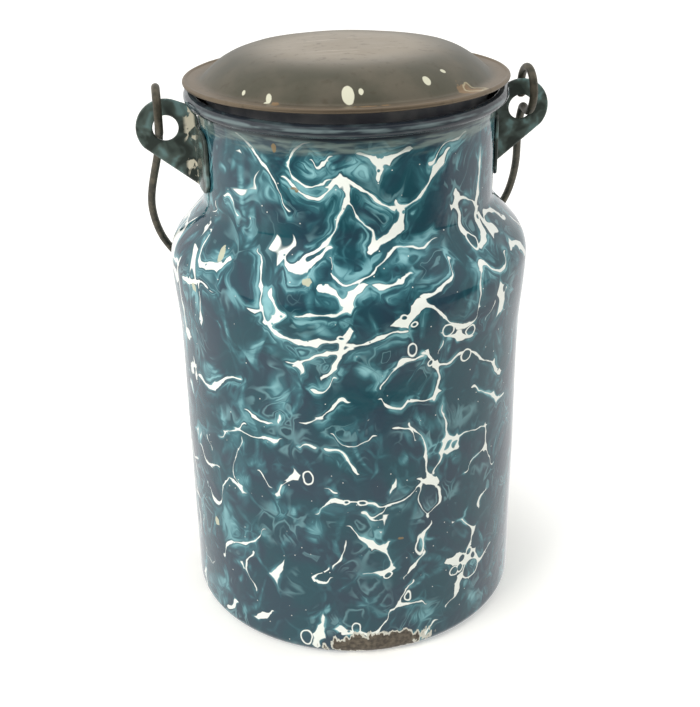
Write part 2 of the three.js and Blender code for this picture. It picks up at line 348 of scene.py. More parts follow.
# %% Turn an outline into a piece
def new_piece(name, body, mesh_maker):
    """A mesh piece in the pail's frame, filled by a function that is given an empty bmesh."""
    skin = bmesh.new()
    mesh_maker(skin)
    bmesh.ops.recalc_face_normals(skin, faces=skin.faces)
    mesh = bpy.data.meshes.new(name)
    skin.to_mesh(mesh)
    skin.free()
    mesh.polygons.foreach_set("use_smooth", [True] * len(mesh.polygons))
    piece = bpy.data.objects.new(name, mesh)
    scene.collection.objects.link(piece)
    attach(piece, body)
    print(f"{name}: {len(mesh.vertices)} points, {len(mesh.polygons)} faces")
    return piece


def turned(outline, place, turns=192, loop=False):
    """A maker of a round skin about Z, from radii and heights in millimetres.

    Place is a function that moves each point from the true round shape to where it ends up.
    """

    def make(skin):
        rows = []
        for radius, height in outline:
            if radius < 1e-6:
                rows.append([skin.verts.new(place(Vector((0, 0, height))) * MM)] * turns)
                continue
            ring = [2 * math.pi * k / turns for k in range(turns)]
            rows.append([
                skin.verts.new(place(Vector((radius * math.cos(a), radius * math.sin(a), height))) * MM)
                for a in ring
            ])
        pairs = list(zip(rows, rows[1:])) + ([(rows[-1], rows[0])] if loop else [])
        for low, high in pairs:
            for k in range(turns):
                corners = [low[k], low[(k + 1) % turns], high[(k + 1) % turns], high[k]]
                skin.faces.new(list(dict.fromkeys(corners)))

    return make


print("ready to turn outlines")

# %% [markdown]
# ## The pail's body
#
# The body is one drawn shell: a flat bottom with a small round edge, an upright wall that swells a
# little into the shoulder, a hollow fillet up to the straight neck, and a rim rolled outward into a
# bead. Real enamel lies over steel that was never quite true, and it ran while it was soft, so the
# wall gets shallow waves of about a tenth of a millimetre. They are what bends the reflections.

# %% Sizes of the body
wall = 1.2
body_radius = 64
bottom_edge_radius = 4.2
straight_height = 112
swell = 1.75
swell_height = 29.2
shoulder_radius = 13.8
shoulder_lean = math.radians(41.5)
neck_fillet_radius = 5.5
neck_radius = 52.5
neck_height = 36.4
flare_height = 9
bead_radius = 2.25
bead_offset = 2.5
bead_join = math.radians(225)

shoulder_height = straight_height + swell_height
swollen_radius = body_radius + swell
shoulder_centre = (swollen_radius - shoulder_radius, shoulder_height)
shoulder_arc = arc(shoulder_centre, shoulder_radius, 0, shoulder_lean, 18)
shoulder_end = shoulder_arc[-1]
fillet_start = neck_radius + neck_fillet_radius * (1 - math.cos(shoulder_lean))
cone_length = max(shoulder_end[0] - fillet_start, 0) / math.sin(shoulder_lean)
cone_top = shoulder_end[1] + cone_length * math.cos(shoulder_lean)
fillet_height = cone_top + neck_fillet_radius * math.sin(shoulder_lean)
bead_height = fillet_height + neck_height
bead_centre = neck_radius + bead_offset
bead_top = bead_height + bead_radius
neck_inside = neck_radius - wall
print("bead at", round(bead_height, 2), "and neck from", round(fillet_height, 2))

# %% Outline of the body
bead = arc((bead_centre, bead_height), bead_radius, bead_join - 2 * math.pi, math.pi, 30)
flare_bottom = bead_height - flare_height
edge_centre = (body_radius - bottom_edge_radius, bottom_edge_radius)
fillet_centre = (neck_radius + neck_fillet_radius, fillet_height)
flat_rings = (30, 50)
lower_outside = without_repeats(
    arc(edge_centre, bottom_edge_radius, -QUARTER, 0, 12)
    + straight((body_radius, bottom_edge_radius), (body_radius, straight_height), 40)
    + ease((body_radius, straight_height), (swollen_radius, shoulder_height), 14)
    + shoulder_arc
    + arc(fillet_centre, neck_fillet_radius, math.pi + shoulder_lean, math.pi, 10)
    + straight((neck_radius, fillet_height), (neck_radius, flare_bottom), 14)
)
body_outline = without_repeats(
    [(0, 0)]
    + [(ring, 0) for ring in flat_rings]
    + lower_outside
    + ease((neck_radius, flare_bottom), bead[0], 10)
    + bead
    + ease(bead[-1], (neck_inside, flare_bottom), 10)
    + list(reversed(offset(lower_outside, wall)))
    + [(ring, wall) for ring in reversed(flat_rings)]
    + [(0, wall)]
)
print("the body's outline has", len(body_outline), "points")


# %% Make the body's skin
SLOW_WAVE, SLOW_DEPTH = 26, 0.16
QUICK_WAVE, QUICK_DEPTH = 9, 0.05
FLAT_BELOW, FADE_BELOW = 3, 12
FLAT_UNDER_NECK, FADE_UNDER_NECK = 4, 14


def between(value):
    """The value, held between zero and one."""
    return min(max(value, 0), 1)


def hand_made(point):
    """Shallow waves in the wall, which fade out at the flat bottom, at the neck and at the rim."""
    reach = math.hypot(point.x, point.y)
    if reach < 1:
        return point
    fade = between((point.z - FLAT_BELOW) / FADE_BELOW)
    fade *= between((fillet_height - FLAT_UNDER_NECK - point.z) / FADE_UNDER_NECK)
    slow = noise.noise(point / SLOW_WAVE + Vector((3.1, 0, 0)))
    quick = noise.noise(point / QUICK_WAVE + Vector((0, 8.4, 0)))
    push = fade * (SLOW_DEPTH * slow + QUICK_DEPTH * quick)
    return Vector((point.x * (1 + push / reach), point.y * (1 + push / reach), point.z))


pail = new_piece("enamelled_pail", "pail", turned(body_outline, place=hand_made))
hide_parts("pail_body")

# %% [markdown]
# ## The ears
#
# Each ear is a stamped lug with a round head and a hole, on a saddle foot that hugs the neck. The
# whole ear was dipped with the pail, so its edges are round and the corner where the lug meets the
# foot is filled. The part's own solid has the right form with sharp edges. A fine even skin over that
# solid, smoothed a few times, gives the same form with the enamel's soft edges.


# %% Dip the ears in enamel
SKIN_GRID = 0.27
SOFT_ROUNDS = 8


def dipped(node_name, piece_name):
    """A soft-edged piece of the same form as one of the part's own solids."""
    source = nodes[node_name]
    mould = bpy.data.objects.new("mould", source.data.copy())
    scene.collection.objects.link(mould)
    remesh = mould.modifiers.new("even_skin", "REMESH")
    remesh.mode = "VOXEL"
    remesh.voxel_size = SKIN_GRID * MM
    soft = mould.modifiers.new("soft_edges", "SMOOTH")
    soft.factor = 0.5
    soft.iterations = SOFT_ROUNDS
    graph = bpy.context.evaluated_depsgraph_get()
    mesh = bpy.data.meshes.new_from_object(mould.evaluated_get(graph))
    bpy.data.objects.remove(mould)
    mesh.name = piece_name
    mesh.materials.clear()
    mesh.polygons.foreach_set("use_smooth", [True] * len(mesh.polygons))
    ear = bpy.data.objects.new(piece_name, mesh)
    scene.collection.objects.link(ear)
    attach(ear, "pail")
    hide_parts(node_name)
    print(f"{piece_name}: {len(mesh.vertices)} points")
    return ear


ears = [dipped("ear_right", "enamelled_ear_right"), dipped("ear_left", "enamelled_ear_left")]

# %% [markdown]
# ## The bail
#
# The bail is one length of soft iron wire, bent by hand. Each end passes through an ear and is turned
# round into an eye, and the wire hangs in the lowest outer part of the hole. A bevelled curve would
# make such a wire too, but with flat ends, so a round skin is drawn along the same path as the part's
# wire. A little unevenness in the long arch keeps it from looking like a drawn circle, while the eyes
# stay exact so that they clear the ears.

# %% Path of the wire
wire_radius = 1.45
eye_radius = 7.8
eye_bend_radius = 2.4
eye_tip_gap = 1
lug_hole_radius = 4.5
lug_reach = 11.6
lug_drop = 10.25
seat_gap = 0.3
hang_angle = math.radians(-33)
bail_half_width = 71
bail_leg_length = 51

hole_x = neck_radius + lug_reach
hole_z = bead_height - lug_drop
wire_in_hole = lug_hole_radius - wire_radius - seat_gap
eye_x = hole_x + wire_in_hole * math.cos(hang_angle)
swing_height = hole_z + wire_in_hole * math.sin(hang_angle) + eye_radius
rest_lean = math.asin((body_radius + wire_radius + seat_gap) / (bail_leg_length + bail_half_width))


def around_axis(x, distance, angle):
    """A place beside the swing axis, from a distance and an angle above the rear horizontal."""
    return Vector((x, distance * math.cos(angle), swing_height + distance * math.sin(angle)))


def half_bail():
    """Wire from the tip of the right eye, down the leg, to the middle of the arch."""
    leg = rest_lean - QUARTER
    bend_distance = eye_radius + eye_bend_radius
    bend_turn = math.asin(eye_bend_radius / bend_distance)
    tip = leg + (2 * wire_radius + eye_tip_gap) / eye_radius
    eye_end = leg - bend_turn + 2 * math.pi
    points = [around_axis(eye_x, eye_radius, a) for a in np.linspace(tip, eye_end, 49)]
    centre = around_axis(eye_x, bend_distance, eye_end)
    for a in np.linspace(eye_end - math.pi, leg + QUARTER, 11)[1:]:
        points.append(centre + Vector((0, math.cos(a), math.sin(a))) * eye_bend_radius)
    leg_start = math.sqrt(bend_distance**2 - eye_bend_radius**2)
    for t in np.linspace(0, 1, 31)[1:]:
        x = eye_x + (bail_half_width - eye_x) * t * t * (3 - 2 * t)
        points.append(around_axis(x, leg_start + (bail_leg_length - leg_start) * t, leg))
    for a in np.linspace(0, QUARTER, 61)[1:]:
        distance = bail_leg_length + bail_half_width * math.sin(a)
        points.append(around_axis(bail_half_width * math.cos(a), distance, leg))
    return points


right_half = half_bail()
wire_path = right_half + [Vector((-p.x, p.y, p.z)) for p in reversed(right_half[:-1])]
wire_length = sum((b - a).length for a, b in zip(wire_path, wire_path[1:]))
print("the wire is", round(wire_length), "mm long")


# %% Draw the wire along its path
EXACT_BELOW_AXIS, EASE_IN = 14, 20
CAP_SHARE = 0.6


def by_hand(points, amount=0.22):
    """Small bends in the long part of the wire, and none near its eyes."""
    bent = []
    for p in points:
        far = between((swing_height - EXACT_BELOW_AXIS - p.z) / EASE_IN)
        shift = Vector((noise.noise(p / 17 + Vector((5, 0, 0))), 0, noise.noise(p / 21)))
        bent.append(p + shift * amount * far)
    return bent


def drawn_wire(points, radius, sides=20, cap_rings=4):
    """A maker of a round wire along points, with softly rounded ends."""

    def make(skin):
        side = Vector((1, 0, 0))
        first = (points[0] - points[1]).normalized()
        last = (points[-1] - points[-2]).normalized()
        caps = [QUARTER * (k + 1) / (cap_rings + 1) for k in range(cap_rings)]
        caps = [(radius * math.sin(a) * CAP_SHARE, radius * math.cos(a)) for a in caps]
        stations = [(points[0] + first * out, r) for out, r in reversed(caps)]
        stations += [(p, radius) for p in points]
        stations += [(points[-1] + last * out, r) for out, r in caps]
        angles = [2 * math.pi * k / sides for k in range(sides)]
        rings = []
        for i, (p, r) in enumerate(stations):
            before = stations[max(i - 1, 0)][0]
            after = stations[min(i + 1, len(stations) - 1)][0]
            along = (after - before).normalized()
            side = (side - along * side.dot(along)).normalized()
            up = along.cross(side)
            spokes = [side * math.cos(a) + up * math.sin(a) for a in angles]
            rings.append([skin.verts.new((p + spoke * r) * MM) for spoke in spokes])
        for low, high in zip(rings, rings[1:]):
            for k in range(sides):
                skin.faces.new([low[k], low[(k + 1) % sides], high[(k + 1) % sides], high[k]])
        skin.faces.new(rings[0])
        skin.faces.new(rings[-1])

    return make


bail = new_piece("bail_of_wire", "bail", drawn_wire(by_hand(wire_path), wire_radius))
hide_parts("bail")

# %% [markdown]
# ## The lid
#
# The lid is a domed cover of thin tinplate with a hemmed edge, and a collar soldered under it that
# plugs the neck. As photographed it lies on the bead at the back and stands four millimetres open at
# the front. Both skins are turned upright first and then tilted into place, and the cover gets shallow
# dents from a long life of being banged down.

# %% Outline of the lid
tin = 0.8
dome_inset = 1.95
dome_height = 10.7
crown_radius = 31.8
crown_drop = 1.15
dome_fillet_radius = 2
hem_radius = 0.8
lid_front_rise = 4
lid_radius = bead_centre + bead_radius
dome_radius = neck_radius - dome_inset
crown_sphere = crown_radius**2 / (2 * crown_drop)
crown_lean = math.asin(crown_radius / crown_sphere)
crown_edge = (crown_radius, dome_height - crown_sphere * (1 - math.cos(crown_lean)))
side_run = dome_radius - crown_edge[0]
side_drop = crown_edge[1] * math.cos(crown_lean) - side_run * math.sin(crown_lean)
side_radius = (side_run**2 + crown_edge[1] ** 2) / (2 * side_drop)
side_centre = (
    crown_edge[0] - side_radius * math.sin(crown_lean),
    crown_edge[1] - side_radius * math.cos(crown_lean),
)
fillet_rise = dome_fillet_radius - side_centre[1]
fillet_run = math.sqrt((side_radius + dome_fillet_radius) ** 2 - fillet_rise**2)
fillet_x = side_centre[0] + fillet_run
side_end = math.atan2(fillet_rise, fillet_run)
dome_line = (
    arc((0, dome_height - crown_sphere), crown_sphere, QUARTER, QUARTER - crown_lean, 24)
    + arc(side_centre, side_radius, QUARTER - crown_lean, side_end, 24)
    + arc((fillet_x, dome_fillet_radius), dome_fillet_radius, math.pi + side_end, math.pi + QUARTER, 8)
    + straight((fillet_x, 0), (lid_radius - hem_radius, 0), 4)
)
top_of_lid = [(r, z + tin) for r, z in without_repeats(dome_line)]
under_lid = list(reversed(offset(top_of_lid, -tin)))
hem_join = math.asin(tin / 2 / hem_radius)
hem = arc((lid_radius - hem_radius, tin / 2), hem_radius, math.pi - hem_join, hem_join - math.pi, 20)
crown_top, crown_under = (0, top_of_lid[0][1]), (0, under_lid[-1][1])
cover_outline = without_repeats([crown_top] + top_of_lid[1:] + hem + under_lid[:-1] + [crown_under])
print("the cover is", round(dome_height + tin, 1), "mm high over a flange of radius", lid_radius)

# %% Make the cover
lid_tilt = math.asin(lid_front_rise / (2 * lid_radius))
lid_seat = bead_top + seat_gap + bead_centre * math.tan(lid_tilt)
lay_on = Matrix.Translation((0, 0, lid_seat)) @ Matrix.Rotation(-lid_tilt, 4, "X")

DENT_SIZE, DENT_DEPTH = 19, 0.22
RIPPLE_SIZE, RIPPLE_DEPTH = 8, 0.05
DENT_FADE = 8


def dented(point):
    """Shallow dents in the dome and a slight wave in the flange, then the tilt on the rim."""
    reach = math.hypot(point.x, point.y)
    spot = Vector((point.x, point.y, 0))
    dome = between((dome_radius - reach) / DENT_FADE)
    depth = DENT_DEPTH * dome * noise.noise(spot / DENT_SIZE + Vector((0, 0, 2.2)))
    depth += RIPPLE_DEPTH * noise.noise(spot / RIPPLE_SIZE + Vector((0, 0, 6.1)))
    return lay_on @ Vector((point.x, point.y, point.z + depth))


cover = new_piece("tin_cover", "lid", turned(cover_outline, place=dented))
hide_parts("lid_cover")

# %% [markdown]
# The collar is a ring of thin tin, a little narrower than the neck. It tapers so that it finds its way
# in, and its lower edge is rolled inward so that it doesn't cut. It could be a tube with a modifier for
# its thickness, but one closed outline, turned once, gives the sheet and the roll together.

# %% Make the collar
collar_clearance = 1.2
collar_depth = 13
collar_taper = 0.6
collar_thickness = 0.6
collar_hem_radius = 0.7
collar_radius = neck_inside - collar_clearance
collar_top = float(np.interp(collar_radius, *zip(*sorted(under_lid)))) - seat_gap
collar_foot = collar_radius - collar_taper
hem_x = collar_foot - collar_hem_radius
hem_z = collar_hem_radius - collar_depth
hem_turn = math.acos(1 - collar_thickness / collar_hem_radius)
collar_outline = (
    [(collar_radius - collar_thickness, collar_top)]
    + arc((hem_x, hem_z), collar_hem_radius, hem_turn - 2 * math.pi, 0, 18)
    + [(collar_radius, collar_top)]
)
collar_skin = turned(collar_outline, place=lambda p: lay_on @ p, loop=True)
collar = new_piece("tin_collar", "lid", collar_skin)
collar.data.set_sharp_from_angle(angle=math.radians(40))
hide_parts("lid_collar")

# %% [markdown]
# A ring of sheet has to be joined somewhere: one end laps over the other and is soldered. The seam is a
# low strip at the rear, so a small grid of points follows a flat-topped curve and is made a little
# lumpy by noise. It is sunk a tenth of a millimetre into the tin, so that no gap shows beside it.


# %% Make the lap seam in the collar
def lap_seam(skin):
    """A rounded strip of solder and doubled sheet up the inside of the collar, at the rear."""
    seam_width = 7
    seam_thickness = 0.6
    sunk = 0.1

    def corner(x, y, z):
        return skin.verts.new(lay_on @ Vector((x, y, z)) * MM)

    front, back = [], []
    for z in np.linspace(hem_z + collar_hem_radius, collar_top, 9):
        t = (z - hem_z) / (collar_top - hem_z)
        tin_face = collar_foot + (collar_radius - collar_foot) * t - collar_thickness
        front.append([])
        back.append([])
        for u in np.linspace(-1, 1, 13):
            lumps = 0.9 + 0.2 * noise.noise(Vector((u * 3, z / 2, 1)))
            proud = seam_thickness * (1 - abs(u) ** 4) * lumps
            front[-1].append(corner(u * seam_width / 2, tin_face - proud, z))
            back[-1].append(corner(u * seam_width / 2, tin_face + sunk, z))
    for grid in (front, back):
        for a, b in zip(grid, grid[1:]):
            for k in range(len(a) - 1):
                skin.faces.new([a[k], a[k + 1], b[k + 1], b[k]])
    for k in range(len(front[0]) - 1):
        for i in (0, -1):
            skin.faces.new([front[i][k], front[i][k + 1], back[i][k + 1], back[i][k]])
    for i in range(len(front) - 1):
        for k in (0, -1):
            skin.faces.new([front[i][k], front[i + 1][k], back[i + 1][k], back[i][k]])


seam = new_piece("tin_collar_seam", "lid", lap_seam)

# %% [markdown]
# ## The room
#
# The pail stands on white paper in bright, even light. An image of a studio could light it, but a
# plain world keeps the lesson short. It is white where the camera looks and where gloss mirrors it,
# apart from the side behind the camera, which is dim as a room is. That dim side gives the enamel
# its deep front and its pale flanks. Two large soft lamps add a little direction.


# %% Light the room
def kinds_of_ray(shader):
    """One for a ray from the camera, from gloss and through glass, and zero for any other."""
    rays = shader.node("ShaderNodeLightPath").socket.node.outputs
    kinds = ("Is Camera Ray", "Is Glossy Ray", "Is Transmission Ray")
    return [Value(shader, rays[kind]) for kind in kinds]


room = Shader(bpy.data.worlds.new("room"))
scene.world = room.owner
towards = room.node("ShaderNodeTexCoord", output="Generated")
east, north, up = split(room, towards)
frontness = (0 - north) / ((east * east + north * north) ** 0.5 + 0.001)
dim_side = frontness.step(0.35, 0.9) * (1 - up.step(0.9, 0.99))
camera_ray, gloss, through = kinds_of_ray(room)
mirrored = 1 - 0.86 * dim_side
daylight = 0.70
lights_only = 1 - (camera_ray + gloss + through).at_most(1)
strength = camera_ray + through + gloss * mirrored + lights_only * daylight
white_sky = room.node("ShaderNodeBackground", None, {"Color": (1, 1, 1, 1), "Strength": strength})
room.finish(white_sky, "ShaderNodeOutputWorld")


def soft_lamp(name, place, size, power):
    """A large square lamp that faces the middle of the pail and doesn't show in its gloss."""
    lamp = bpy.data.objects.new(name, bpy.data.lights.new(name, "AREA"))
    lamp.data.size = size
    lamp.data.energy = power
    lamp.location = place
    lamp.rotation_euler = (Vector((0, 0, 0.1)) - lamp.location).to_track_quat("-Z", "Y").to_euler()
    lamp.visible_glossy = False
    scene.collection.objects.link(lamp)


soft_lamp("window_left", (-0.9, -0.55, 1.0), 0.7, 11)
soft_lamp("wall_right", (1.0, -0.2, 0.8), 0.9, 2.2)

# %% [markdown]
# The floor is white paper that has to look white and still keep the pail's shadow. So its light is
# a sum: a plain paper that takes light and shadow, and a glow that only the camera and the gloss
# see. The glow is a little weaker near the pail, which deepens the shadow at its foot.

# %% Lay the paper floor
FLOOR_HALF, FLOOR_HEIGHT = 4, -0.0002
SHADOW_STARTS, SHADOW_ENDS = 0.064, 0.105
floor_mesh = bpy.data.meshes.new("paper")
corners = [(-1, -1), (1, -1), (1, 1), (-1, 1)]
corners = [(FLOOR_HALF * a, FLOOR_HALF * b, FLOOR_HEIGHT) for a, b in corners]
floor_mesh.from_pydata(corners, [], [(0, 1, 2, 3)])
floor = bpy.data.objects.new("paper", floor_mesh)
scene.collection.objects.link(floor)
paper = Shader(bpy.data.materials.new("white_paper"))
camera_ray, gloss, through = kinds_of_ray(paper)
across, along, _ = split(paper, paper.node("ShaderNodeNewGeometry", output="Position"))
near_pail = along.step(-0.34, -0.14)
apart = ((across * across + along * along) ** 0.5).step(SHADOW_STARTS, SHADOW_ENDS)
glow = camera_ray * apart.fit(0.335, 0.54) + through * 0.3 + gloss * (near_pail * 0.9 + 0.1)
lit = paper.node("ShaderNodeBsdfDiffuse", None, {"Color": (0.8, 0.79, 0.735, 1)})
black = paper.node("ShaderNodeEmission", None, {"Strength": 0.0})
without_gloss = paper.node("ShaderNodeMixShader", None, {0: gloss, 1: lit, 2: black})
bright = paper.node("ShaderNodeEmission", None, {"Color": (1, 0.995, 1, 1), "Strength": glow})
both = paper.node("ShaderNodeAddShader", None, {0: without_gloss, 1: bright})
floor_mesh.materials.append(paper.finish(both))
print("floor laid")

# %% [markdown]
# ## The enamel
#
# Swirled enamel is made by dipping the pail in teal glass slip over a white ground and turning it
# while the slip runs. The teal gathers in pools like wet pebbles, and the white ground shows between
# them as veins that widen where three pools meet. A painted image could show that, but it would
# belong to this one mesh. So the pattern is worked out from each point's own place, which is first
# pushed about by slow and quick currents, as the slip was.


# %% Currents that bend the pattern
def bent_by(shader, point, size, amount, seed, stretch=(1, 1, 1)):
    """The point, pushed along by a current of that size, up to about that many millimetres."""
    push = clouds(shader, point, size, seed, detail=1.0, stretch=stretch, output="Color")
    centred = shader.vector("SUBTRACT", push, (0.5, 0.5, 0.5))
    return shader.vector("MULTIPLY_ADD", centred, (2 * amount,) * 3, point)


def along_wall(turn):
    """Degrees from the front, as millimetres along the body's wall."""
    return math.radians(turn) * body_radius


def on_wall(places):
    """Ovals whose middles are given as degrees from the front and height, all in millimetres."""
    return [(along_wall(turn), height, half_x, half_y) for turn, height, half_x, half_y in places]


def unrolled(shader, point):
    """How far round the wall and how high up a point is, in millimetres."""
    x, y, z = split(shader, point)
    return x.math("ARCTAN2", x, 0 - y) * body_radius, z


SLATE = tone(39, 63, 77)
DEEP = tone(27, 72, 82)
TEAL = tone(69, 129, 138)
PALE = tone(144, 195, 200)
CREAM = tone(246, 249, 241)
NAVY = tone(40, 46, 53)
print("enamel colours:", SLATE, CREAM)

# %% [markdown]
# The front of the pail shows big runs of white. Noise alone gives the right kind of vein but never the
# right one, so these are drawn one by one. A run is a line of places on the unrolled wall, each with
# the half width of the white there. Side is the side to which the teal thins out beside it, and 0 where
# it stays thick.

# %% Runs across the neck and the shoulder
# Each place is degrees round from the front, height and half width in millimetres.
neck_runs = [
    (1, [(-52.6, 195.8, 0.5), (-48.6, 193.6, 0.9), (-45, 190.6, 0.9), (-41, 187.2, 0.7),
         (-35, 178.9, 0.5), (-31, 172, 0.3)]),
    (1, [(-30.6, 187.5, 0.4), (-29.5, 184, 0.7), (-27, 182, 0.7), (-23, 180.7, 0.6), (-19, 182.2, 0.5),
         (-16, 184, 0.3)]),
    (-1, [(-30.5, 188.5, 0.5), (-29.5, 191, 0.6), (-26, 194.5, 0.4), (-22, 195.5, 0.2)]),
    (-1, [(-22, 189.8, 0.3), (-20, 187.5, 0.9), (-17.5, 189, 0.6), (-15, 191.5, 0.2)]),
    (1, [(-33, 184, 0.5), (-29.2, 180, 0.9), (-26, 177.8, 1.0), (-21, 177.2, 1.0), (-17, 180.4, 0.9),
         (-12, 183.9, 1.4)]),
    (1, [(-17.5, 181.5, 0.6), (-14, 183.2, 1.6), (-11.3, 183.2, 2.6), (-8.5, 182.3, 1.8),
         (-5.5, 180, 0.9), (-2, 178.2, 0.9), (1.6, 176, 0.8), (4, 173.9, 0.9), (6.6, 172.8, 1.0)]),
    (-1, [(-6.3, 191.8, 0.5), (-2, 190.8, 1.3), (2, 188.9, 2.6), (5, 189.8, 2.3), (9.6, 190.8, 1.3),
          (13.6, 192, 0.4)]),
    (1, [(8.6, 173, 1.0), (14.6, 174.4, 0.7), (17.6, 176.1, 0.7), (20.5, 179.4, 0.9),
         (22.5, 183.3, 1.4), (25, 186, 1.8), (27.5, 187.8, 1.1), (30.5, 189.6, 0.2)]),
    (1, [(20.5, 186.1, 0.3), (24.5, 188.9, 0.45), (27.5, 191.1, 0.45), (33.5, 192.2, 0.4),
         (38.5, 193.9, 0.3)]),
]
shoulder_runs = [
    (-1, [(-3, 158.6, 0.3), (-1, 160.2, 0.9), (0.5, 160.8, 0.8), (4, 162.4, 0.9), (6.6, 164, 1.6),
          (9, 166, 1.8)]),
    (1, [(-32.5, 158.5, 0.7), (-30, 155, 1.6), (-27, 153.9, 2.3), (-23.5, 154.8, 1.4),
         (-20, 157.5, 0.9), (-16, 161, 0.6)]),
    (-1, [(-16, 158, 0.3), (-14.5, 153.5, 0.5), (-10, 150.8, 0.5), (-4, 152.5, 0.4), (2, 157, 0.35),
          (8, 159.8, 0.3), (16, 158.6, 0.3), (23, 160.5, 0.2)]),
    (1, [(-19, 150.2, 0.5), (-14.5, 148.5, 1.3), (-12, 146, 2.5), (-9.5, 146, 2.6), (-7, 148.3, 1.4),
         (-4, 150.2, 0.4)]),
    (1, [(-25, 140.4, 0.4), (-20.5, 142, 0.7), (-16, 141.8, 0.8), (-12, 142.6, 1.3), (-9.5, 144, 1.8)]),
    (1, [(-35, 136.4, 0.5), (-32.5, 133.8, 0.8), (-29, 132.1, 1.1), (-25, 131.2, 1.3), (-21, 131, 1.2),
         (-17, 131.6, 1.0), (-13, 131.9, 1.5), (-10.5, 133.4, 2.0), (-9, 136, 0.5)]),
    (1, [(-10, 130.6, 1.2), (-6, 131, 0.6), (-1.5, 132.8, 0.9), (3, 134.6, 0.6), (7.5, 134.2, 0.3)]),
    (1, [(-2, 150.2, 0.3), (3, 150, 0.8), (6.5, 150.8, 0.8), (10.5, 152.8, 0.25)]),
    (-1, [(11.5, 146, 0.5), (14, 145.8, 0.9), (19, 147.2, 0.8), (23, 149.5, 0.7), (25.5, 154, 0.3)]),
    (0, [(2.8, 136.8, 0.8), (5.5, 138.4, 2.4), (8.5, 140.6, 3.3), (10.5, 142.6, 2.4), (13, 142.3, 1.3),
         (16.5, 140.5, 1.0), (19.5, 137.5, 1.1), (21.5, 134.5, 1.0), (25, 132, 1.2), (29, 131.5, 0.9),
         (32, 133, 0.6), (33.2, 137, 0.4)]),
    (0, [(18.6, 131.4, 0.3), (20.5, 129.6, 0.5), (22.7, 128.8, 0.5), (25.6, 128.2, 1.4),
         (27.9, 126.8, 0.9), (30.6, 126, 0.4)]),
]
print(len(neck_runs), "runs on the neck and", len(shoulder_runs), "on the shoulder")

# %% Runs across the wall
wall_runs = [
    (1, [(-29, 123, 0.4), (-24, 123.6, 0.5), (-19, 126, 0.9), (-15, 127.2, 1.0), (-12, 128, 1.6),
         (-9.5, 129.4, 0.8)]),
    (-1, [(-21.5, 113.4, 0.5), (-19, 112.4, 1.0), (-16.5, 113.6, 0.6), (-14.2, 118.6, 0.7)]),
    (0, [(3.6, 120.6, 0.4), (6, 123.6, 1.0), (9.5, 123.2, 0.7), (12, 124, 0.5)]),
    (0, [(12.4, 125.4, 0.6), (15, 121.8, 1.8), (17.5, 118.8, 1.2), (22, 118.5, 0.7), (26, 120.7, 1.0),
         (30, 120, 0.7), (33, 118, 1.3), (37, 114, 0.6), (42.5, 110.8, 0.9), (45, 107.5, 2.0),
         (48.6, 104.2, 0.6)]),
    (0, [(-0.6, 109.6, 0.4), (0.8, 107, 0.8), (3.3, 105.4, 1.0), (5.4, 105, 0.6), (9, 107.4, 0.4),
         (13, 106.4, 0.3), (16.5, 106, 0.6), (18.8, 108.4, 0.4)]),
    (1, [(-20.5, 102.2, 0.3), (-17, 104.4, 0.8), (-14, 107.4, 0.8), (-11.6, 109.6, 1.1),
         (-9.8, 108.6, 0.4)]),
    (0, [(33.2, 105.5, 0.7), (36, 102.6, 0.3), (41.5, 99, 0.9), (44.5, 97, 2.2), (47, 93.6, 1.2),
         (52, 93, 0.3)]),
    (0, [(21.3, 88.2, 1.8), (26, 87.6, 1.0), (31, 88.3, 0.5), (36, 87.2, 0.4), (40, 86.2, 0.6)]),
    (0, [(30.3, 70.6, 0.7), (33.5, 74.7, 0.8), (37, 76, 0.4), (40.2, 76.8, 0.9), (43, 71.5, 0.5),
         (45, 67.4, 0.9)]),
    (0, [(11.8, 75.2, 0.7), (14, 74.2, 1.9), (16.4, 73.2, 2.6), (18.6, 72, 1.2)]),
    (1, [(-17.5, 90, 0.3), (-14, 89.8, 0.9), (-12, 88, 1.3), (-9.6, 84.2, 0.9), (-8.3, 81.3, 1.8),
         (-7.4, 79.8, 0.4)]),
    (1, [(-21.4, 62.6, 0.3), (-19, 66.4, 0.6), (-16.5, 69, 1.3), (-12, 68.8, 0.9), (-7, 68.5, 1.2),
         (-3, 67.8, 1.1), (0, 66.2, 0.5), (3, 66.8, 1.1), (7, 68, 0.5), (10.5, 70, 0.4),
         (12.5, 72.4, 0.2)]),
    (0, [(-6.6, 64.6, 0.6), (-3.4, 62.6, 0.7), (0, 63.6, 0.4), (2.4, 66, 0.4)]),
    (0, [(-11.5, 59, 0.2), (-9, 56.5, 0.7), (-6.5, 53.4, 1.8), (-4.5, 51.8, 3.4), (-1.5, 49.4, 1.8),
         (0.5, 48.6, 2.2), (2.4, 50.4, 0.3)]),
    (0, [(-6.6, 38.4, 0.3), (-3, 38.4, 0.6), (-0.6, 37.6, 2.2), (1.8, 37.2, 2.4), (3.6, 38.4, 0.5)]),
    (0, [(-22.6, 35, 0.6), (-21.4, 33.6, 1.0), (-19, 33.3, 0.9), (-16.2, 35.6, 0.3)]),
    (0, [(3.4, 19.8, 0.4), (6, 22, 1.3), (10, 22, 0.7), (13.6, 21, 0.9), (15.6, 19.4, 0.3)]),
    (0, [(23, 35.4, 1.4), (25, 34.8, 3.4), (28, 33, 5.6), (31, 31, 7.6), (34, 28.4, 8.8),
         (37.4, 27.8, 6.6), (40, 28.2, 2.4), (43, 29.6, 1.2), (46, 31, 0.5)]),
    (0, [(8.4, 7.6, 0.8), (10, 6.2, 1.8), (13.5, 5.2, 1.4), (17, 7.4, 0.8), (20, 9.6, 0.4)]),
]
print(len(wall_runs), "runs on the wall")

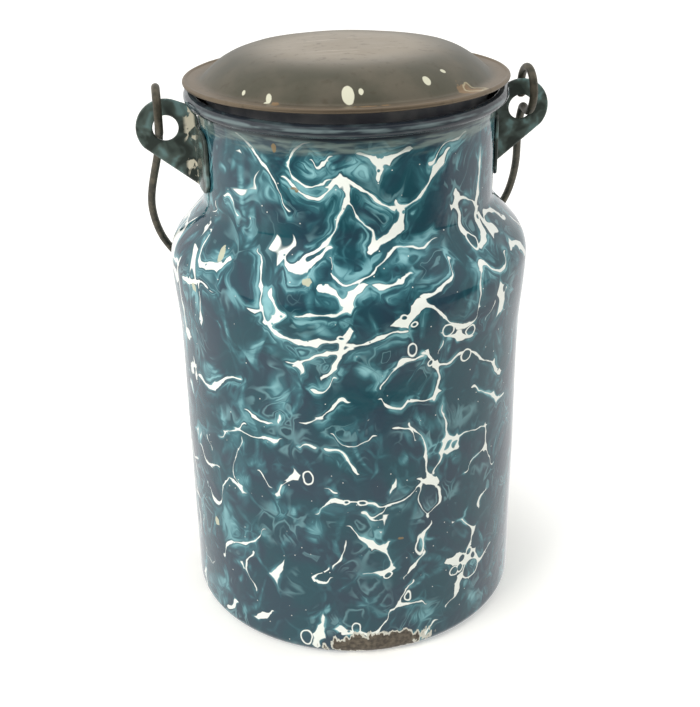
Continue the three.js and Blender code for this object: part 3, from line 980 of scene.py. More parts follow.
# %% Runs across at both sides, and the finest ones
left_runs = [
    (1, [(-69.5, 158, 0.5), (-67, 153, 0.9), (-63, 149.3, 1.0), (-58, 150, 1.5), (-54, 151.2, 2.2),
         (-51.2, 153.6, 0.6)]),
    (1, [(-63, 172, 0.4), (-60, 172.8, 1.5), (-57.2, 171, 0.9), (-55, 166.6, 0.5)]),
    (1, [(-72, 141, 2.2), (-67, 142, 1.8), (-61.5, 143.8, 0.5), (-55, 143, 0.2)]),
    (1, [(-69, 103.8, 0.8), (-64, 102.8, 1.1), (-60, 103.4, 1.3), (-56.5, 106, 1.1), (-52, 110, 0.5),
         (-46, 111.6, 0.3)]),
    (0, [(-44.2, 100.4, 0.5), (-41, 98.2, 1.1), (-37, 97, 1.0), (-35.6, 97.6, 0.3)]),
    (0, [(-49.5, 91, 0.2), (-43, 90.4, 0.4), (-37.5, 91.2, 0.6), (-34, 91, 1.3), (-32.4, 91.8, 0.4)]),
    (0, [(-72, 72.4, 1.2), (-67, 68.3, 1.1), (-63, 68.8, 0.9), (-60.2, 70.2, 0.4)]),
    (1, [(-66.5, 56.6, 0.7), (-65, 53.8, 1.0), (-62.4, 53.4, 1.2), (-60, 55.6, 0.9), (-58.4, 61, 0.9),
         (-56, 66, 0.6), (-53, 68.5, 0.4), (-49, 67.4, 0.5)]),
    (0, [(-60, 30.4, 1.1), (-59, 34, 1.1), (-57, 37.5, 1.3), (-53, 39.5, 0.6), (-49, 41.5, 1.1),
         (-45, 44.5, 0.5), (-42, 48, 0.6), (-39.6, 52, 0.3)]),
    (0, [(-45.6, 9, 1.2), (-43, 10.4, 2.4), (-40.4, 12.4, 1.5), (-38.4, 15.6, 0.3)]),
    (0, [(-60, 6, 2.0), (-57, 8.5, 2.4), (-54.6, 11.6, 0.9)]),
    (0, [(-15.5, 12, 1.2), (-12, 11.2, 2.0), (-8, 11.4, 2.6), (-4, 9.6, 2.2), (-1, 11.2, 2.4),
         (0.8, 15, 1.2), (3, 19.4, 0.4)]),
]
right_runs = [
    (1, [(36.8, 156.6, 0.8), (40, 154.9, 1.1), (44, 155.4, 1.3), (47, 158, 1.4)]),
    (0, [(34.4, 171, 0.8), (38.5, 170.8, 0.5), (42, 169.8, 0.5), (45.5, 167.5, 0.9), (48, 164.6, 1.2)]),
    (1, [(35.2, 149, 0.7), (37, 150.7, 1.3), (40, 147.5, 0.6), (44, 145.8, 0.7), (47.5, 146.8, 0.5),
         (50.5, 150.4, 0.2)]),
    (0, [(50, 159.6, 0.3), (54, 161.5, 0.9), (60, 160.5, 1.3), (68, 156, 1.4)]),
    (0, [(54.5, 149, 0.8), (57, 149.6, 2.0), (62, 147.4, 2.4), (66, 143, 1.0)]),
]
fine_runs = [
    (1, [(-15.5, 96.5, 0.3), (-12.6, 92.6, 0.5), (-10.1, 91.8, 0.5), (-7.6, 92, 0.4),
         (-4.5, 93.7, 0.4), (-2.1, 95.4, 0.3)]),
    (0, [(-25.9, 89.6, 0.3), (-23.7, 91.2, 0.5), (-20.7, 90.3, 0.3)]),
    (0, [(-25.6, 100, 0.2), (-22.3, 100.7, 0.4), (-19.4, 102, 0.4)]),
    (0, [(-17.9, 74.1, 0.3), (-14.9, 72.3, 0.5)]),
    (0, [(-6.3, 64.1, 0.4), (-3.8, 62.1, 0.7), (-0.6, 60.9, 0.6)]),
    (0, [(3.7, 97.5, 0.3), (6.9, 96.8, 0.7), (9.2, 95, 0.9), (10.3, 91, 0.3)]),
    (0, [(-57.7, 84.3, 0.2), (-53.3, 88.2, 0.3), (-49.1, 90.5, 0.6), (-45.1, 94.1, 0.3)]),
    (0, [(-40.9, 76.5, 0.4), (-39.2, 74.6, 1.1), (-36.2, 71, 0.4)]),
    (1, [(-52.1, 67.7, 0.4), (-50, 66.4, 0.7), (-48.2, 65, 0.3)]),
]
runs_across = neck_runs + shoulder_runs + wall_runs + left_runs + right_runs + fine_runs
print(len(runs_across), "runs across in all")

# %% [markdown]
# A curve has one value for each place along it, so a run that goes nearly straight up can't be drawn
# across. Those runs have their numbers in the other order: height, degrees and half width.

# %% Runs that stand upright
upper_upright = [
    (1, [(182, -10.2, 1.4), (178, -10, 0.9), (174.4, -10.8, 0.8), (170.5, -12.8, 0.7),
         (166.7, -13.8, 0.7), (163.3, -17.3, 0.8), (160, -20.2, 1.0), (156, -25, 1.4)]),
    (1, [(176.4, -10.2, 0.7), (173.3, -7.8, 0.6), (168.9, -4.3, 0.9), (166.1, -1.3, 0.8),
         (163.3, -0.3, 0.8), (160.6, -1.2, 1.2), (158.4, -1.8, 0.3)]),
    (0, [(189, 1.8, 2.0), (185.6, 2.4, 1.6), (182.6, 1.4, 0.7)]),
    (-1, [(175, 8, 1.2), (171, 9.7, 2.0), (168, 9.5, 2.2), (165.4, 8.6, 1.8)]),
    (1, [(158, -42.5, 0.25), (156, -39.8, 0.4), (151, -37.6, 0.6), (146.7, -36.6, 0.55),
         (141, -35.7, 0.5), (136.6, -35, 0.6)]),
    (1, [(148.4, -33.6, 0.4), (144, -31.8, 1.2), (141, -30.2, 1.7), (138.4, -31.2, 1.8),
         (135.8, -33, 0.8)]),
    (0, [(131.6, -12, 2.4), (128, -12.5, 1.5), (125.5, -12.8, 1.4), (122, -14.5, 1.3),
         (119.4, -16.6, 1.4), (117.4, -18.6, 0.4)]),
    (0, [(138, 33.2, 0.4), (143, 33, 0.45), (147, 34.3, 0.5), (150, 35.8, 0.8)]),
    (0, [(174.6, 33.6, 0.9), (172, 35, 1.4), (169.6, 34.2, 1.3), (165.6, 35.7, 0.9), (161, 36.3, 1.1),
         (157, 37.5, 1.2)]),
    (0, [(186, 49, 0.3), (178, 49.2, 0.7), (173, 48.7, 1.1), (168.5, 47.5, 1.6), (164, 47, 2.0),
         (160, 47.2, 1.4), (156, 45, 1.2)]),
]
wall_upright = [
    (0, [(119, 17.8, 1.6), (114, 18.6, 0.8), (109.5, 18, 0.7), (105.6, 16.8, 0.5)]),
    (0, [(102, 19.8, 0.5), (98, 21, 0.7), (93, 22, 0.9), (90, 22, 1.4), (88, 21.6, 2.2),
         (84.6, 20.6, 1.5), (80, 20, 0.5), (76, 17.6, 0.5)]),
    (0, [(87, 39.7, 0.5), (80, 40, 0.5), (76.4, 40, 0.9)]),
    (0, [(98, 8.6, 1.0), (95, 10, 0.8), (90, 13.4, 0.4), (84, 14.2, 0.8), (78, 15.4, 1.0),
         (74, 16, 1.8)]),
    (0, [(73, 18.4, 1.4), (68, 19.2, 0.8), (64, 19.8, 0.8), (60.6, 17.6, 0.5), (58.4, 15.2, 0.6)]),
    (0, [(72.6, 13, 0.4), (67, 12.3, 0.3), (62, 13.8, 0.35), (58.6, 15.4, 0.5)]),
    (0, [(49, 0.2, 1.3), (44, 1.5, 0.8), (40, 2.6, 1.0), (37.6, 1.6, 3.4), (35.4, 1, 0.5)]),
    (0, [(55.6, 16.4, 0.2), (50, 13.5, 1.0), (46, 13.7, 0.9), (43, 14.2, 0.7), (40, 12.3, 0.9),
         (37.8, 11.4, 1.4), (35, 9, 0.6), (33.6, 7, 0.4)]),
    (0, [(40, -18, 0.4), (38.2, -19, 1.1), (36.4, -21.8, 0.8), (34, -22.6, 0.7)]),
    (0, [(52, -12, 0.2), (46, -13, 0.4), (43.2, -13.9, 1.0), (40, -16.6, 0.2)]),
    (0, [(22, 5.8, 1.0), (26, 6.8, 0.6), (29, 8.4, 0.5), (31.4, 10.4, 0.3)]),
    (0, [(26, 30, 4.8), (22, 28.8, 3.0), (19, 28, 2.0), (17, 27, 0.7), (14.6, 23.4, 0.3)]),
    (0, [(58.6, 42, 0.3), (56, 38.6, 1.6), (53.4, 37.4, 1.5), (51.6, 38, 0.3)]),
    (0, [(18.4, -19.8, 0.4), (14, -20.4, 2.2), (10, -21.6, 4.0), (6, -22.2, 4.4), (3.6, -22.4, 3.0)]),
    (0, [(39, -45.2, 0.3), (34, -48.4, 0.5), (30, -48.4, 0.5), (26, -46, 0.4), (22.4, -44.4, 0.5)]),
    (1, [(143, -61.3, 0.3), (135, -61.8, 0.4), (129, -62.4, 1.0), (126.6, -63, 0.2)]),
    (1, [(88, -47.6, 0.2), (80, -49.8, 0.3), (72, -51.6, 0.4), (66, -49, 0.3)]),
    (0, [(76.6, 4.6, 0.5), (74, 3.6, 1.5), (72, 2.4, 0.5)]),
]
fine_upright = [
    (0, [(110.7, 43.6, 1.0), (107.7, 44.9, 1.7), (104, 47.5, 0.5)]),
    (0, [(97.7, 43.9, 0.8), (95.4, 45.2, 1.6), (92.8, 46.1, 0.4)]),
    (1, [(122.4, 6, 0.5), (119.7, 3.2, 0.35), (116.6, 1.1, 0.3), (113.3, -0.7, 0.2)]),
    (0, [(131.2, 36.4, 0.3), (133.8, 39.6, 0.3), (136.2, 40.2, 0.2)]),
    (0, [(101.3, -32.3, 0.5), (99.8, -32.6, 0.8), (98.4, -33.5, 0.4)]),
    (0, [(80.4, -66.2, 0.4), (78.9, -65.7, 0.5), (76, -62.9, 0.5)]),
    (0, [(127.6, 19.2, 0.25), (123.2, 17.8, 0.25)]),
]
runs_upright = upper_upright + wall_upright + fine_upright
print(len(runs_upright), "runs upright")

# %% [markdown]
# Smaller marks are ovals on the same unrolled wall, each with its degrees from the front, its
# height and its two half sizes in millimetres. Drops are round dark pools that lie in the white.
# Veils are places where the teal is as thin as pale silk. Chips are old damage: tan where bare
# metal has rusted, and cream where only the white ground is left.

# %% Drops, veils and chips
drops = [
    (34.4, 26.6, 3.9, 3.6), (30, 33.4, 1.4, 1.4), (33.1, 34.6, 1.1, 1.4), (35.2, 32, 1.1, 1.5),
    (26.8, 29.4, 1.7, 1.7), (29.3, 30, 1.1, 1.4), (-25.8, 7, 1.9, 2.6), (-8.6, 13.2, 1.6, 1.9),
    (5.9, 139.2, 0.7, 0.7), (9.3, 136.6, 0.6, 0.6), (-12.2, 132.8, 0.9, 0.5), (1.9, 36, 1.2, 1.1),
    (8.8, 127, 1.4, 1.8), (28.6, 119.0, 2.2, 2.0), (15.4, 120, 0.8, 0.8), (-23.3, 78.2, 1.6, 2.2),
    (13, 46.6, 1.0, 3.0), (-7, 68.4, 1.2, 0.7), (-12, 68.8, 0.6, 0.5), (8.6, 25.4, 0.8, 1.3),
    (47.5, 161.6, 0.9, 0.7), (38, 156.8, 1.8, 2.0), (20.9, 131.8, 1.8, 2.0), (30, 128.4, 1.6, 1.7),
]
veils = [
    (-2, 187.5, 9, 3.6), (-22, 187, 5, 3.5), (-25, 154, 6, 3.6), (-34, 142, 2, 7), (-52, 176, 1.2, 11),
    (-56, 152, 5, 3), (22, 185, 2.5, 4), (9, 156.5, 6, 1.2), (-5, 121, 1.8, 1.4), (-32, 111, 3.4, 7),
    (-48.6, 72.8, 3, 9), (-54, 46, 3.5, 5), (-22, 56, 3, 4), (-34, 62, 3, 3), (14.6, 14, 4, 3),
    (-60, 108, 6, 4), (-58, 147, 3, 2),
]
tan_chips = [
    (-36.5, 192.5, 1.1, 1.6), (-29.4, 179.2, 2.0, 0.8), (6.3, 50.9, 1.2, 0.6), (-28, 178.6, 0.9, 0.8),
]
cream_chips = [
    (-63.2, 44.4, 1.6, 2.0), (-56.5, 154, 1.6, 2.4), (-22.5, 152, 2.0, 0.9), (-64.5, 141, 1.4, 1.6),
]
print(len(drops), "drops,", len(veils), "veils and", len(tan_chips) + len(cream_chips), "chips")

# %% [markdown]
# Two curve nodes hold a run: one gives its line's height for each place round the wall, and one
# gives its half width. The distance inside the white is then the half width less the distance from
# the line. Runs that stand upright swap the two directions.


# %% Turn runs into nodes
TAPER = 1.8
BARE = -5
THIN_TEAL_OFFSET = 1.9


def curve(shader, field, places, values):
    """A smooth curve through values at places of that field."""
    dots = {"curve": list(zip(places, values))}
    return shader.node("ShaderNodeFloatCurve", dots, {"Value": field})


def run_field(shader, along, other, places, side, fullness):
    """How far inside one run's white a point is, and the same for the thin teal beside it."""
    spots, lines, halves = (list(row) for row in zip(*sorted(places)))
    spots = [spots[0] - 3 * TAPER, spots[0] - TAPER, *spots, spots[-1] + TAPER, spots[-1] + 3 * TAPER]
    halves = [BARE, 0.3 * BARE, *halves, 0.3 * BARE, BARE]
    lines = [lines[0], lines[0], *lines, lines[-1], lines[-1]]
    off = other - curve(shader, along, spots, lines)
    half = curve(shader, along, spots, halves) * fullness
    beside = half - abs(off + side * THIN_TEAL_OFFSET) * 0.5 if side else None
    return half - abs(off), beside


print("a run tapers over", TAPER, "mm at each end")

# %% [markdown]
# The slip ran faster on the neck than down the wall, so three sets of currents are kept. The quick
# ones bend the pools of the neck and the shoulder, and the calm ones the smaller pools of the wall.
# The shaky ones move a point by a millimetre or two, which gives the drawn runs an uneven edge.

# %% Bend the wall's places by the currents
WALL_FADES_IN, WALL_FULL = 122, 84
enamel = Shader(bpy.data.materials.new("swirled_enamel"))
at = millimetres(enamel)
_, _, z = split(enamel, at)
low_part = z.step(WALL_FADES_IN, WALL_FULL)


def by_part(upper, lower):
    """The upper value on the neck and shoulder, and the lower one down the wall."""
    return upper * (1 - low_part) + lower * low_part


slow = bent_by(enamel, at, size=38, amount=20, seed=1, stretch=(1, 1, 1.2))
quick = bent_by(enamel, slow, size=13, amount=6, seed=2)
calm = bent_by(enamel, at, size=16, amount=4.5, seed=4)
calm = bent_by(enamel, calm, size=4.5, amount=1.1, seed=5)
shaky = bent_by(enamel, at, size=8, amount=1.5, seed=21)
shaky = bent_by(enamel, shaky, size=2.4, amount=0.3, seed=22)
wide, high = unrolled(enamel, shaky)
print("currents take", len(enamel.tree.nodes), "nodes")

# %% Draw the runs on the wall
fullness = pebbles(enamel, shaky, size=5.2, seed=6)
fullness = (fullness * fullness * 1.9 + 0.35) * by_part(0.79, 0.51)
drawn_white = drawn_thin = None
for upright, runs in ((False, runs_across), (True, runs_upright)):
    for side, places in runs:
        if upright:
            places = [(height, along_wall(turn), half) for height, turn, half in places]
            white, thin = run_field(enamel, high, wide, places, side, fullness)
        else:
            places = [(along_wall(turn), height, half) for turn, height, half in places]
            white, thin = run_field(enamel, wide, high, places, side, fullness)
        drawn_white = white if drawn_white is None else drawn_white.melt_into(white, 2.2)
        if side:
            drawn_thin = thin if drawn_thin is None else drawn_thin.at_least(thin)
print("with the runs there are", len(enamel.tree.nodes), "nodes")

# %% [markdown]
# The sides and the back go on in the same style, and so do the small veins at the front. Their
# white is a net round pools of two sizes: long ones on the neck and shoulder, and smaller round
# ones down the wall. A Voronoi texture gives both the distance from a pool's heart and the distance
# from its edge, and scattered droplets take bites out of the net.


# %% Loose net of veins
def lobes(point, size, seed, gap, line, tall):
    """How far inside the white a point is, in millimetres, where pools of one size leave it bare.

    Gap is the distance from a pool's heart at which the white starts, in cell sizes, and line is
    half the width of the thin line between two pools that touch, in millimetres.
    """
    form = (1, 1, tall)
    heart = pebbles(enamel, point, size, seed, stretch=form)
    edge = pebbles(enamel, point, size, seed, feature="DISTANCE_TO_EDGE", stretch=form) * size
    return ((heart - gap) * size).at_least(line - edge)


def droplets(point, size, seed, least, most):
    """The same for scattered round drops, each with its own radius in millimetres."""
    away = pebbles(enamel, point, size, seed) * size
    own_size, _, _ = split(enamel, pebbles(enamel, point, size, seed, output="Color"))
    return away - own_size.fit(least, most)


thick = clouds(enamel, at, size=24, seed=6, detail=1.0).step(0.36, 0.66)
thin = clouds(enamel, at, size=15, seed=7, detail=1.0).step(0.42, 0.62)
upper_line = thin * 1.0 - 0.5 + thick * 0.3
upper = lobes(quick, size=15, seed=1, gap=1.0 - 0.36 * thick, line=upper_line, tall=1.3)
upper = upper.at_most(droplets(quick, size=7.5, seed=2, least=-3.5, most=3.6))
lower_line = thin * 0.8 - 0.48 + thick * 0.15
lower = lobes(calm, size=9.5, seed=3, gap=1.05 - 0.28 * thick, line=lower_line, tall=1.3)
lower = lower.at_most(droplets(calm, size=5, seed=4, least=-2.4, most=2.3))
net = by_part(upper, lower)
on_front = abs(wide).step(along_wall(74), along_wall(58))
loose = net - on_front * by_part(1.3, 0.66)
print("with the net there are", len(enamel.tree.nodes), "nodes")

# %% [markdown]
# The drawn runs and the loose net melt into one white, as glass does where two runs meet. The plain
# maximum of the two would leave sharp corners, so a smooth one joins them. Then small drops bite into
# the white, each big drop gets a thin ring of white round it, and a few fine specks are sprinkled on.

# %% Join all the white
flat = enamel.node("ShaderNodeCombineXYZ", None, {0: wide, 1: high})
hole = outside_ovals(enamel, flat, on_wall(drops))
veil = outside_ovals(enamel, flat, on_wall(veils))
ring_half = 0.30
inside = drawn_white.melt_into(loose, 1.5)
# Away is how far a point is from the white, before the small drops make its edge restless
away = 0 - inside
inside = inside.at_most(droplets(at, size=2.8, seed=5, least=-1.6, most=0.7))
inside = inside.at_least(ring_half - abs(hole - 0.25)).at_most(hole)
specks = pebbles(enamel, at, size=4.6, seed=55).step(0.060, 0.035)
white = inside.step(-0.12, 0.16).at_least(specks * 0.8)
print("the white is ready, with soft edges 0.28 mm wide")

# %% [markdown]
# Teal glass is dark where it is thick and glows where it is thin. So one value, glow, gathers the
# places where it thins out: close beside the white, in mist and streams that were drawn out by the
# turning, and in the veils. All of it is combed into silk that follows the edges of the white,
# because the noise for the silk is stretched along them.

# %% Where the teal is thin
NECK_FADES_IN, NECK_FULL = 158, 168
combed = enamel.node("ShaderNodeCombineXYZ", None, {0: wide * 0.11, 1: high * 0.11, 2: away})
silk = clouds(enamel, combed, size=1.5, seed=10, detail=2.0).step(0.3, 0.7)
mist = clouds(enamel, slow, size=11, seed=11, detail=2.0, stretch=(1, 1, 1.8), wander=0.8)
neck_part = z.step(NECK_FADES_IN, NECK_FULL)
streams = clouds(enamel, slow, size=7, seed=23, detail=1.0, stretch=(1, 1, 6)).step(0.50, 0.74)
streams = streams * neck_part * wide.step(along_wall(-20), along_wall(-40))
mist = by_part(mist.step(0.44, 0.74).at_least(streams), mist.step(0.48, 0.74) * 0.75)
one_side = clouds(enamel, quick, size=10, seed=12, detail=1.0).step(0.38, 0.60)
close = by_part(away.step(5.5, -0.2), away.step(3.6, -0.2) * 0.9)
glow = close * close * one_side * silk.fit(0.35, 1.0)
glow = glow.at_least(drawn_thin.step(-2.4, 0.3) * by_part(1.0, 0.45) * silk.fit(0.3, 1.0))
glow = glow.at_least(mist * silk.fit(0.5, 1.0))
glow = glow.at_least(net.step(-1.7, 0.3) * by_part(0.22, 0.16))
glow = glow.at_least(veil.step(3.5, -1.8) * silk.fit(0.5, 1.2) * by_part(1.0, 0.65))
glow = glow * by_part(0.90, 1.10)
wisps = abs(clouds(enamel, combed, size=3.4, seed=13, detail=1.0) - 0.5).step(0.06, 0.0)
wisps = wisps * clouds(enamel, at, size=20, seed=14).step(0.46, 0.62) * away.step(14, 3)
print("with the glow there are", len(enamel.tree.nodes), "nodes")

# %% [markdown]
# A colour ramp could turn the glow into colours, but then every colour would follow one value. With
# Mix nodes each colour has a mask of its own: slate and deep teal are laid first, then teal and pale
# where the glass is thin, and the white last.

# %% Colours from thick teal to white
greyer = neck_part * wide.step(along_wall(12), along_wall(28))
deeper = clouds(enamel, quick, size=18, seed=15).step(0.35, 0.65) * (1 - greyer * 0.8)
ground = enamel.mix(deeper, SLATE, DEEP)
ground = enamel.mix(glow.step(0.05, 0.9), ground, TEAL)
ground = enamel.mix(glow.step(0.45, 1.1), ground, PALE)
ground = enamel.mix(wisps * 0.38, ground, PALE)
ground = enamel.mix(white, ground, CREAM)
print("colours are mixed in the order slate, teal, pale and cream")

# %% [markdown]
# The rim was dipped once more in navy, which ran down a little in streaks. A lighter line along the top
# of the bead is a painted highlight. Both follow the height of the bead, so they stay in place if the
# neck changes.

# %% Navy rim
rim_line = bead_height - 4.0
streaks = clouds(enamel, at, size=3.2, seed=17, detail=2.0, stretch=(3, 3, 0.5))
under_rim = (z + streaks * 5).step(rim_line - 3.5, rim_line + 0.5)
run_down = enamel.mix(streaks.step(0.35, 0.62), tone(52, 66, 74), tone(120, 136, 130))
ground = enamel.mix(under_rim * 0.8, ground, run_down)
on_rim = (z + streaks * 1.2).step(rim_line, rim_line + 1.4)
dipped_rim = enamel.mix(streaks.step(0.45, 0.7) * 0.7, NAVY, tone(78, 92, 94))
ground = enamel.mix(on_rim, ground, dipped_rim)
# Painted highlight: a pale line along the top of the bead
painted_highlight_on_bead = abs(z - bead_height - 0.5).step(0.8, 0.2) * streaks.step(0.30, 0.60)
ground = enamel.mix(painted_highlight_on_bead * 0.6, ground, tone(124, 140, 141))
print("the rim's colour starts at", round(rim_line, 1), "mm")

# %% [markdown]
# Enamel chips where a pail is set down hard. The big chip at the foot is rusty steel inside a pale
# rim of ground coat. Its oval gets a ragged edge from noise that is taller than it is wide. The
# smaller chips are made in the same way.

# %% Chips
CHIP_TURN, CHIP_HEIGHT = -2, 5.0
CHIP_HALF_TURN, CHIP_HALF_HEIGHT = 14.5, 4.4
ragged = clouds(enamel, at, size=2.4, seed=51, detail=3.0, stretch=(0.8, 0.8, 2.2))
chip_wide = (wide - along_wall(CHIP_TURN)) * (1 / along_wall(CHIP_HALF_TURN))
chip_high = (high - CHIP_HEIGHT) * (1 / CHIP_HALF_HEIGHT)
chip = (chip_wide * chip_wide + chip_high * chip_high) ** 0.5 + (ragged - 0.5) * 1.7
ground = enamel.mix(chip.step(1.30, 1.18), ground, tone(214, 212, 198))
rust = clouds(enamel, at, size=1.6, seed=52, detail=4.0).step(0.3, 0.75)
rust = enamel.mix(rust, tone(66, 58, 48), tone(112, 102, 86))
ground = enamel.mix(chip.step(1.06, 0.98), ground, rust)
crumbled = (ragged - 0.5) * 1.6
tan = (outside_ovals(enamel, flat, on_wall(tan_chips)) + crumbled).step(0.1, -0.2)
ground = enamel.mix(tan * 0.85, ground, tone(136, 115, 78))
cream = (outside_ovals(enamel, flat, on_wall(cream_chips)) + crumbled).step(0.1, -0.1)
ground = enamel.mix(cream * 0.9, ground, tone(204, 204, 176))
print("chips done, the big one about", round(2 * along_wall(CHIP_HALF_TURN)), "mm wide")

# %% [markdown]
# Glass enamel is as smooth as the steel under it lets it be. A bump from two soft noises gives the
# ripples, a small blister rises on the left, and the chip lies lower and is rough.

# %% Ripples and gloss
blister = enamel.vector("SUBTRACT", flat, (along_wall(-42), 145, 0))
blister = enamel.vector("LENGTH", blister, output="Value").step(2.4, 0.3)
waves = clouds(enamel, quick, size=6, seed=18, detail=1.0) + 0.3 * clouds(enamel, at, size=1.4, seed=19)
waves = waves - chip.step(1.3, 1.0) * 0.5 + blister * 0.8
relief = enamel.node("ShaderNodeBump", None, {"Strength": 0.18, "Distance": 0.0006, "Height": waves})
roughness = chip.step(1.1, 0.95).fit(0.07, 0.6)
sockets = {"Base Color": ground, "Roughness": roughness, "IOR": 1.5, "Normal": relief}
pail.data.materials.append(enamel.coat(sockets))
print("swirled enamel has", len(enamel.tree.nodes), "nodes")

# %% [markdown]
# Inside, such pails have a plain pale enamel with a few dark specks and a tea-brown floor. It could
# be one more mask in the swirled enamel, but a second material on the inner faces is simpler, and
# it keeps the big one from being worked out where it doesn't show.

# %% Pale enamel inside
lining = Shader(bpy.data.materials.new("pale_lining"))
at = millimetres(lining)
_, _, z = split(lining, at)
wear = clouds(lining, at, size=12, seed=71, detail=4.0)
colour = lining.mix(wear.step(0.35, 0.7), tone(206, 209, 198), tone(226, 228, 220))
dark_specks = pebbles(lining, at, size=6, seed=72).step(0.10, 0.06)
colour = lining.mix(dark_specks, colour, tone(70, 84, 88))
tea_stain = z.step(26, 2) * wear.step(0.40, 0.62) * 0.5
colour = lining.mix(tea_stain, colour, tone(168, 152, 128))
sockets = {"Base Color": colour, "Roughness": 0.12, "IOR": 1.5}
pail.data.materials.append(lining.coat(sockets))

LINED_UP_TO = bead_height - 5
inner_faces = 0
for face in pail.data.polygons:
    east, north, height = face.center / MM
    faces_axis = face.normal.x * east + face.normal.y * north < -0.2 * math.hypot(east, north)
    is_floor = face.normal.z > 0.5 and height < 20
    if (faces_axis or is_floor) and 1 < height < LINED_UP_TO:
        face.material_index = 1
        inner_faces += 1
print("pale inside on", inner_faces, "faces")

# %% [markdown]
# ## Enamel on the ears
#
# The ears are the same enamel, thinner and dulled by the wire that rubs on them. Only a mottle of
# dark green and teal is left, with a cream streak where the left ear's foot meets the neck. Three
# mixes over folded noise are enough for pieces this small.

# %% Ear enamel
ear_coat = Shader(bpy.data.materials.new("ear_enamel"))
at = millimetres(ear_coat)
x, _, _ = split(ear_coat, at)
folds = bent_by(ear_coat, at, size=9, amount=5, seed=20)
patches = clouds(ear_coat, folds, size=7, seed=21, detail=2.0)
mottled = ear_coat.mix(patches.step(0.40, 0.60), tone(54, 62, 57), tone(84, 98, 92))
mottled = ear_coat.mix(patches.step(0.55, 0.68), mottled, tone(108, 138, 136))
cream_streak = clouds(ear_coat, folds, size=3, seed=22, detail=2.0, stretch=(1, 1, 2.5))
cream_streak = cream_streak.step(0.54, 0.59) * (0 - x).step(53.5, 54.5) * x.step(-58.2, -56.8)
mottled = ear_coat.mix(cream_streak, mottled, tone(222, 215, 192))
sockets = {"Base Color": mottled, "Roughness": 0.26, "IOR": 1.5}
ear_coat.coat(sockets)
for ear in ears:
    ear.data.materials.append(ear_coat.owner)
print("ear enamel has", len(ear_coat.tree.nodes), "nodes")

# %% [markdown]
# ## The bare metals
#
# The wire is soft iron, dark with oxide and a little shiny where hands have rubbed it. One noise
# drives both its colour and its roughness, because the same rubbing makes both.

# %% Dark wire
oxide = Shader(bpy.data.materials.new("dark_wire"))
at = millimetres(oxide)
spots = clouds(oxide, at, size=3.5, seed=31, detail=4.0)
colour = oxide.mix(spots.step(0.35, 0.7), tone(72, 70, 60), tone(110, 103, 88))
sockets = {"Base Color": colour, "Roughness": spots.fit(0.36, 0.6), "Metallic": 0.6}
bail.data.materials.append(oxide.coat(sockets))
print("dark wire has", len(oxide.tree.nodes), "nodes")

# %% [markdown]
# The lid was tinned once, and most of the tin has gone to a dull grey-brown. The colour is paler
# towards the crown and browner at the edge, so it follows the distance from the middle, with a stain
# and a grain laid over it. Pale streaks lie across the middle. A few flecks of paint, a rusty edge and
# one scab of rust are ovals, as the chips in the enamel are.

# %% Aged tin
tinplate = Shader(bpy.data.materials.new("aged_tin"))
at = millimetres(tinplate)
x, y, z = split(tinplate, at)
reach = (x * x + y * y) ** 0.5
stain = clouds(tinplate, at, size=15, seed=41, detail=4.0)
grain = clouds(tinplate, at, size=3, seed=44, detail=4.0)
colour = tinplate.mix(stain.step(0.35, 0.7), tone(92, 90, 77), tone(112, 106, 92))
colour = tinplate.mix(reach.step(42, 20) * 0.85, colour, tone(172, 160, 142))
colour = tinplate.mix(reach.step(49, 54) * 0.8, colour, tone(130, 114, 94))
colour = tinplate.mix(grain.step(0.55, 0.75) * 0.4, colour, tone(84, 76, 62))
crown_streaks = clouds(tinplate, at, size=5, seed=45, detail=2.0, stretch=(3.4, 0.5, 1)).step(0.60, 0.70)
colour = tinplate.mix(crown_streaks * reach.step(26, 12) * 0.5, colour, tone(214, 204, 188))
print("plain tin has", len(tinplate.tree.nodes), "nodes")


# %% Rust and flecks on the cover
def marks(places, ragged):
    """One inside ovals on the lid, whose edges are ragged by about that many millimetres."""
    return (outside_ovals(tinplate, at, places) + (grain - 0.5) * ragged).step(0.1, -0.15)


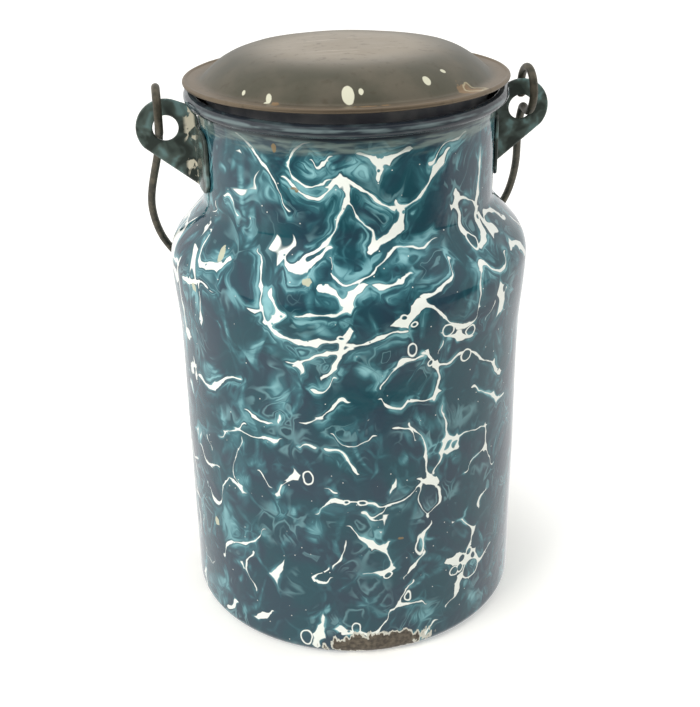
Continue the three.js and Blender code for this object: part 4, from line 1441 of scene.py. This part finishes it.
rusty_places = [(-2.5, -52.4, 5.5, 0.9), (34.6, -39.2, 5.0, 3.4), (-30, -42, 1.2, 1.6)]
fleck_places = [
    (-7.4, -47.0, 2.0, 3.0), (-3.2, -46.7, 0.8, 1.1), (19.3, -41.0, 1.4, 1.7), (26.3, -34.2, 1.0, 0.9),
    (-38.7, -30.1, 0.6, 0.9), (-31.5, -38.2, 0.9, 1.6), (-32.3, -39.6, 1.1, 0.9), (-44, 20, 1.2, 1.7),
    (18, 38, 1.5, 1.2),
]
# Marks fade out below the cover, so that the seam in the collar keeps plain tin
MARKS_FADE_IN, MARKS_FULL = 203.2, 204.4
on_cover = z.step(MARKS_FADE_IN, MARKS_FULL)
rusty = marks(rusty_places, ragged=3.5)
colour = tinplate.mix(rusty * on_cover * 0.75, colour, tone(134, 104, 66))
scab = marks([(36.4, -37.5, 4.6, 3.0)], ragged=2.5) - marks([(36.0, -37.2, 3.4, 1.9)], ragged=2.5)
colour = tinplate.mix(scab.at_least(0) * on_cover * 0.8, colour, tone(184, 172, 140))
flecks = marks(fleck_places, ragged=0.5)
colour = tinplate.mix(flecks * on_cover, colour, tone(214, 212, 188))
sockets = {
    "Base Color": colour,
    "Roughness": stain.fit(0.36, 0.56).at_least(flecks * on_cover * 0.7),
    "Metallic": 0.72 - 0.72 * flecks.at_least(rusty) * on_cover,
}
tinplate.coat(sockets)
for piece in (cover, seam):
    piece.data.materials.append(tinplate.owner)
print(len(fleck_places), "flecks on the cover")

# %% [markdown]
# The collar is the same tin as the cover, but it stays in the dark of the neck, so it gets a copy of
# the tin with painted shade: a dull blue-grey, hardly a metal any more. A single noise stains it.

# %% Collar tin with painted shade
shaded = Shader(bpy.data.materials.new("collar_tin_painted_shade"))
at = millimetres(shaded)
stain = clouds(shaded, at, size=9, seed=61, detail=4.0)
# Painted shade: the blue-grey that the collar shows in the dark under the flange
colour = shaded.mix(stain.step(0.35, 0.7), tone(92, 94, 100), tone(124, 124, 124))
sockets = {"Base Color": colour, "Roughness": stain.fit(0.35, 0.55), "Metallic": 0.1}
collar.data.materials.append(shaded.coat(sockets))
print("metals ready")

# %% [markdown]
# ## Finish
#
# The last line sets the scene's view transform to Standard.

# %% Finish
scene.view_settings.view_transform = "Standard"
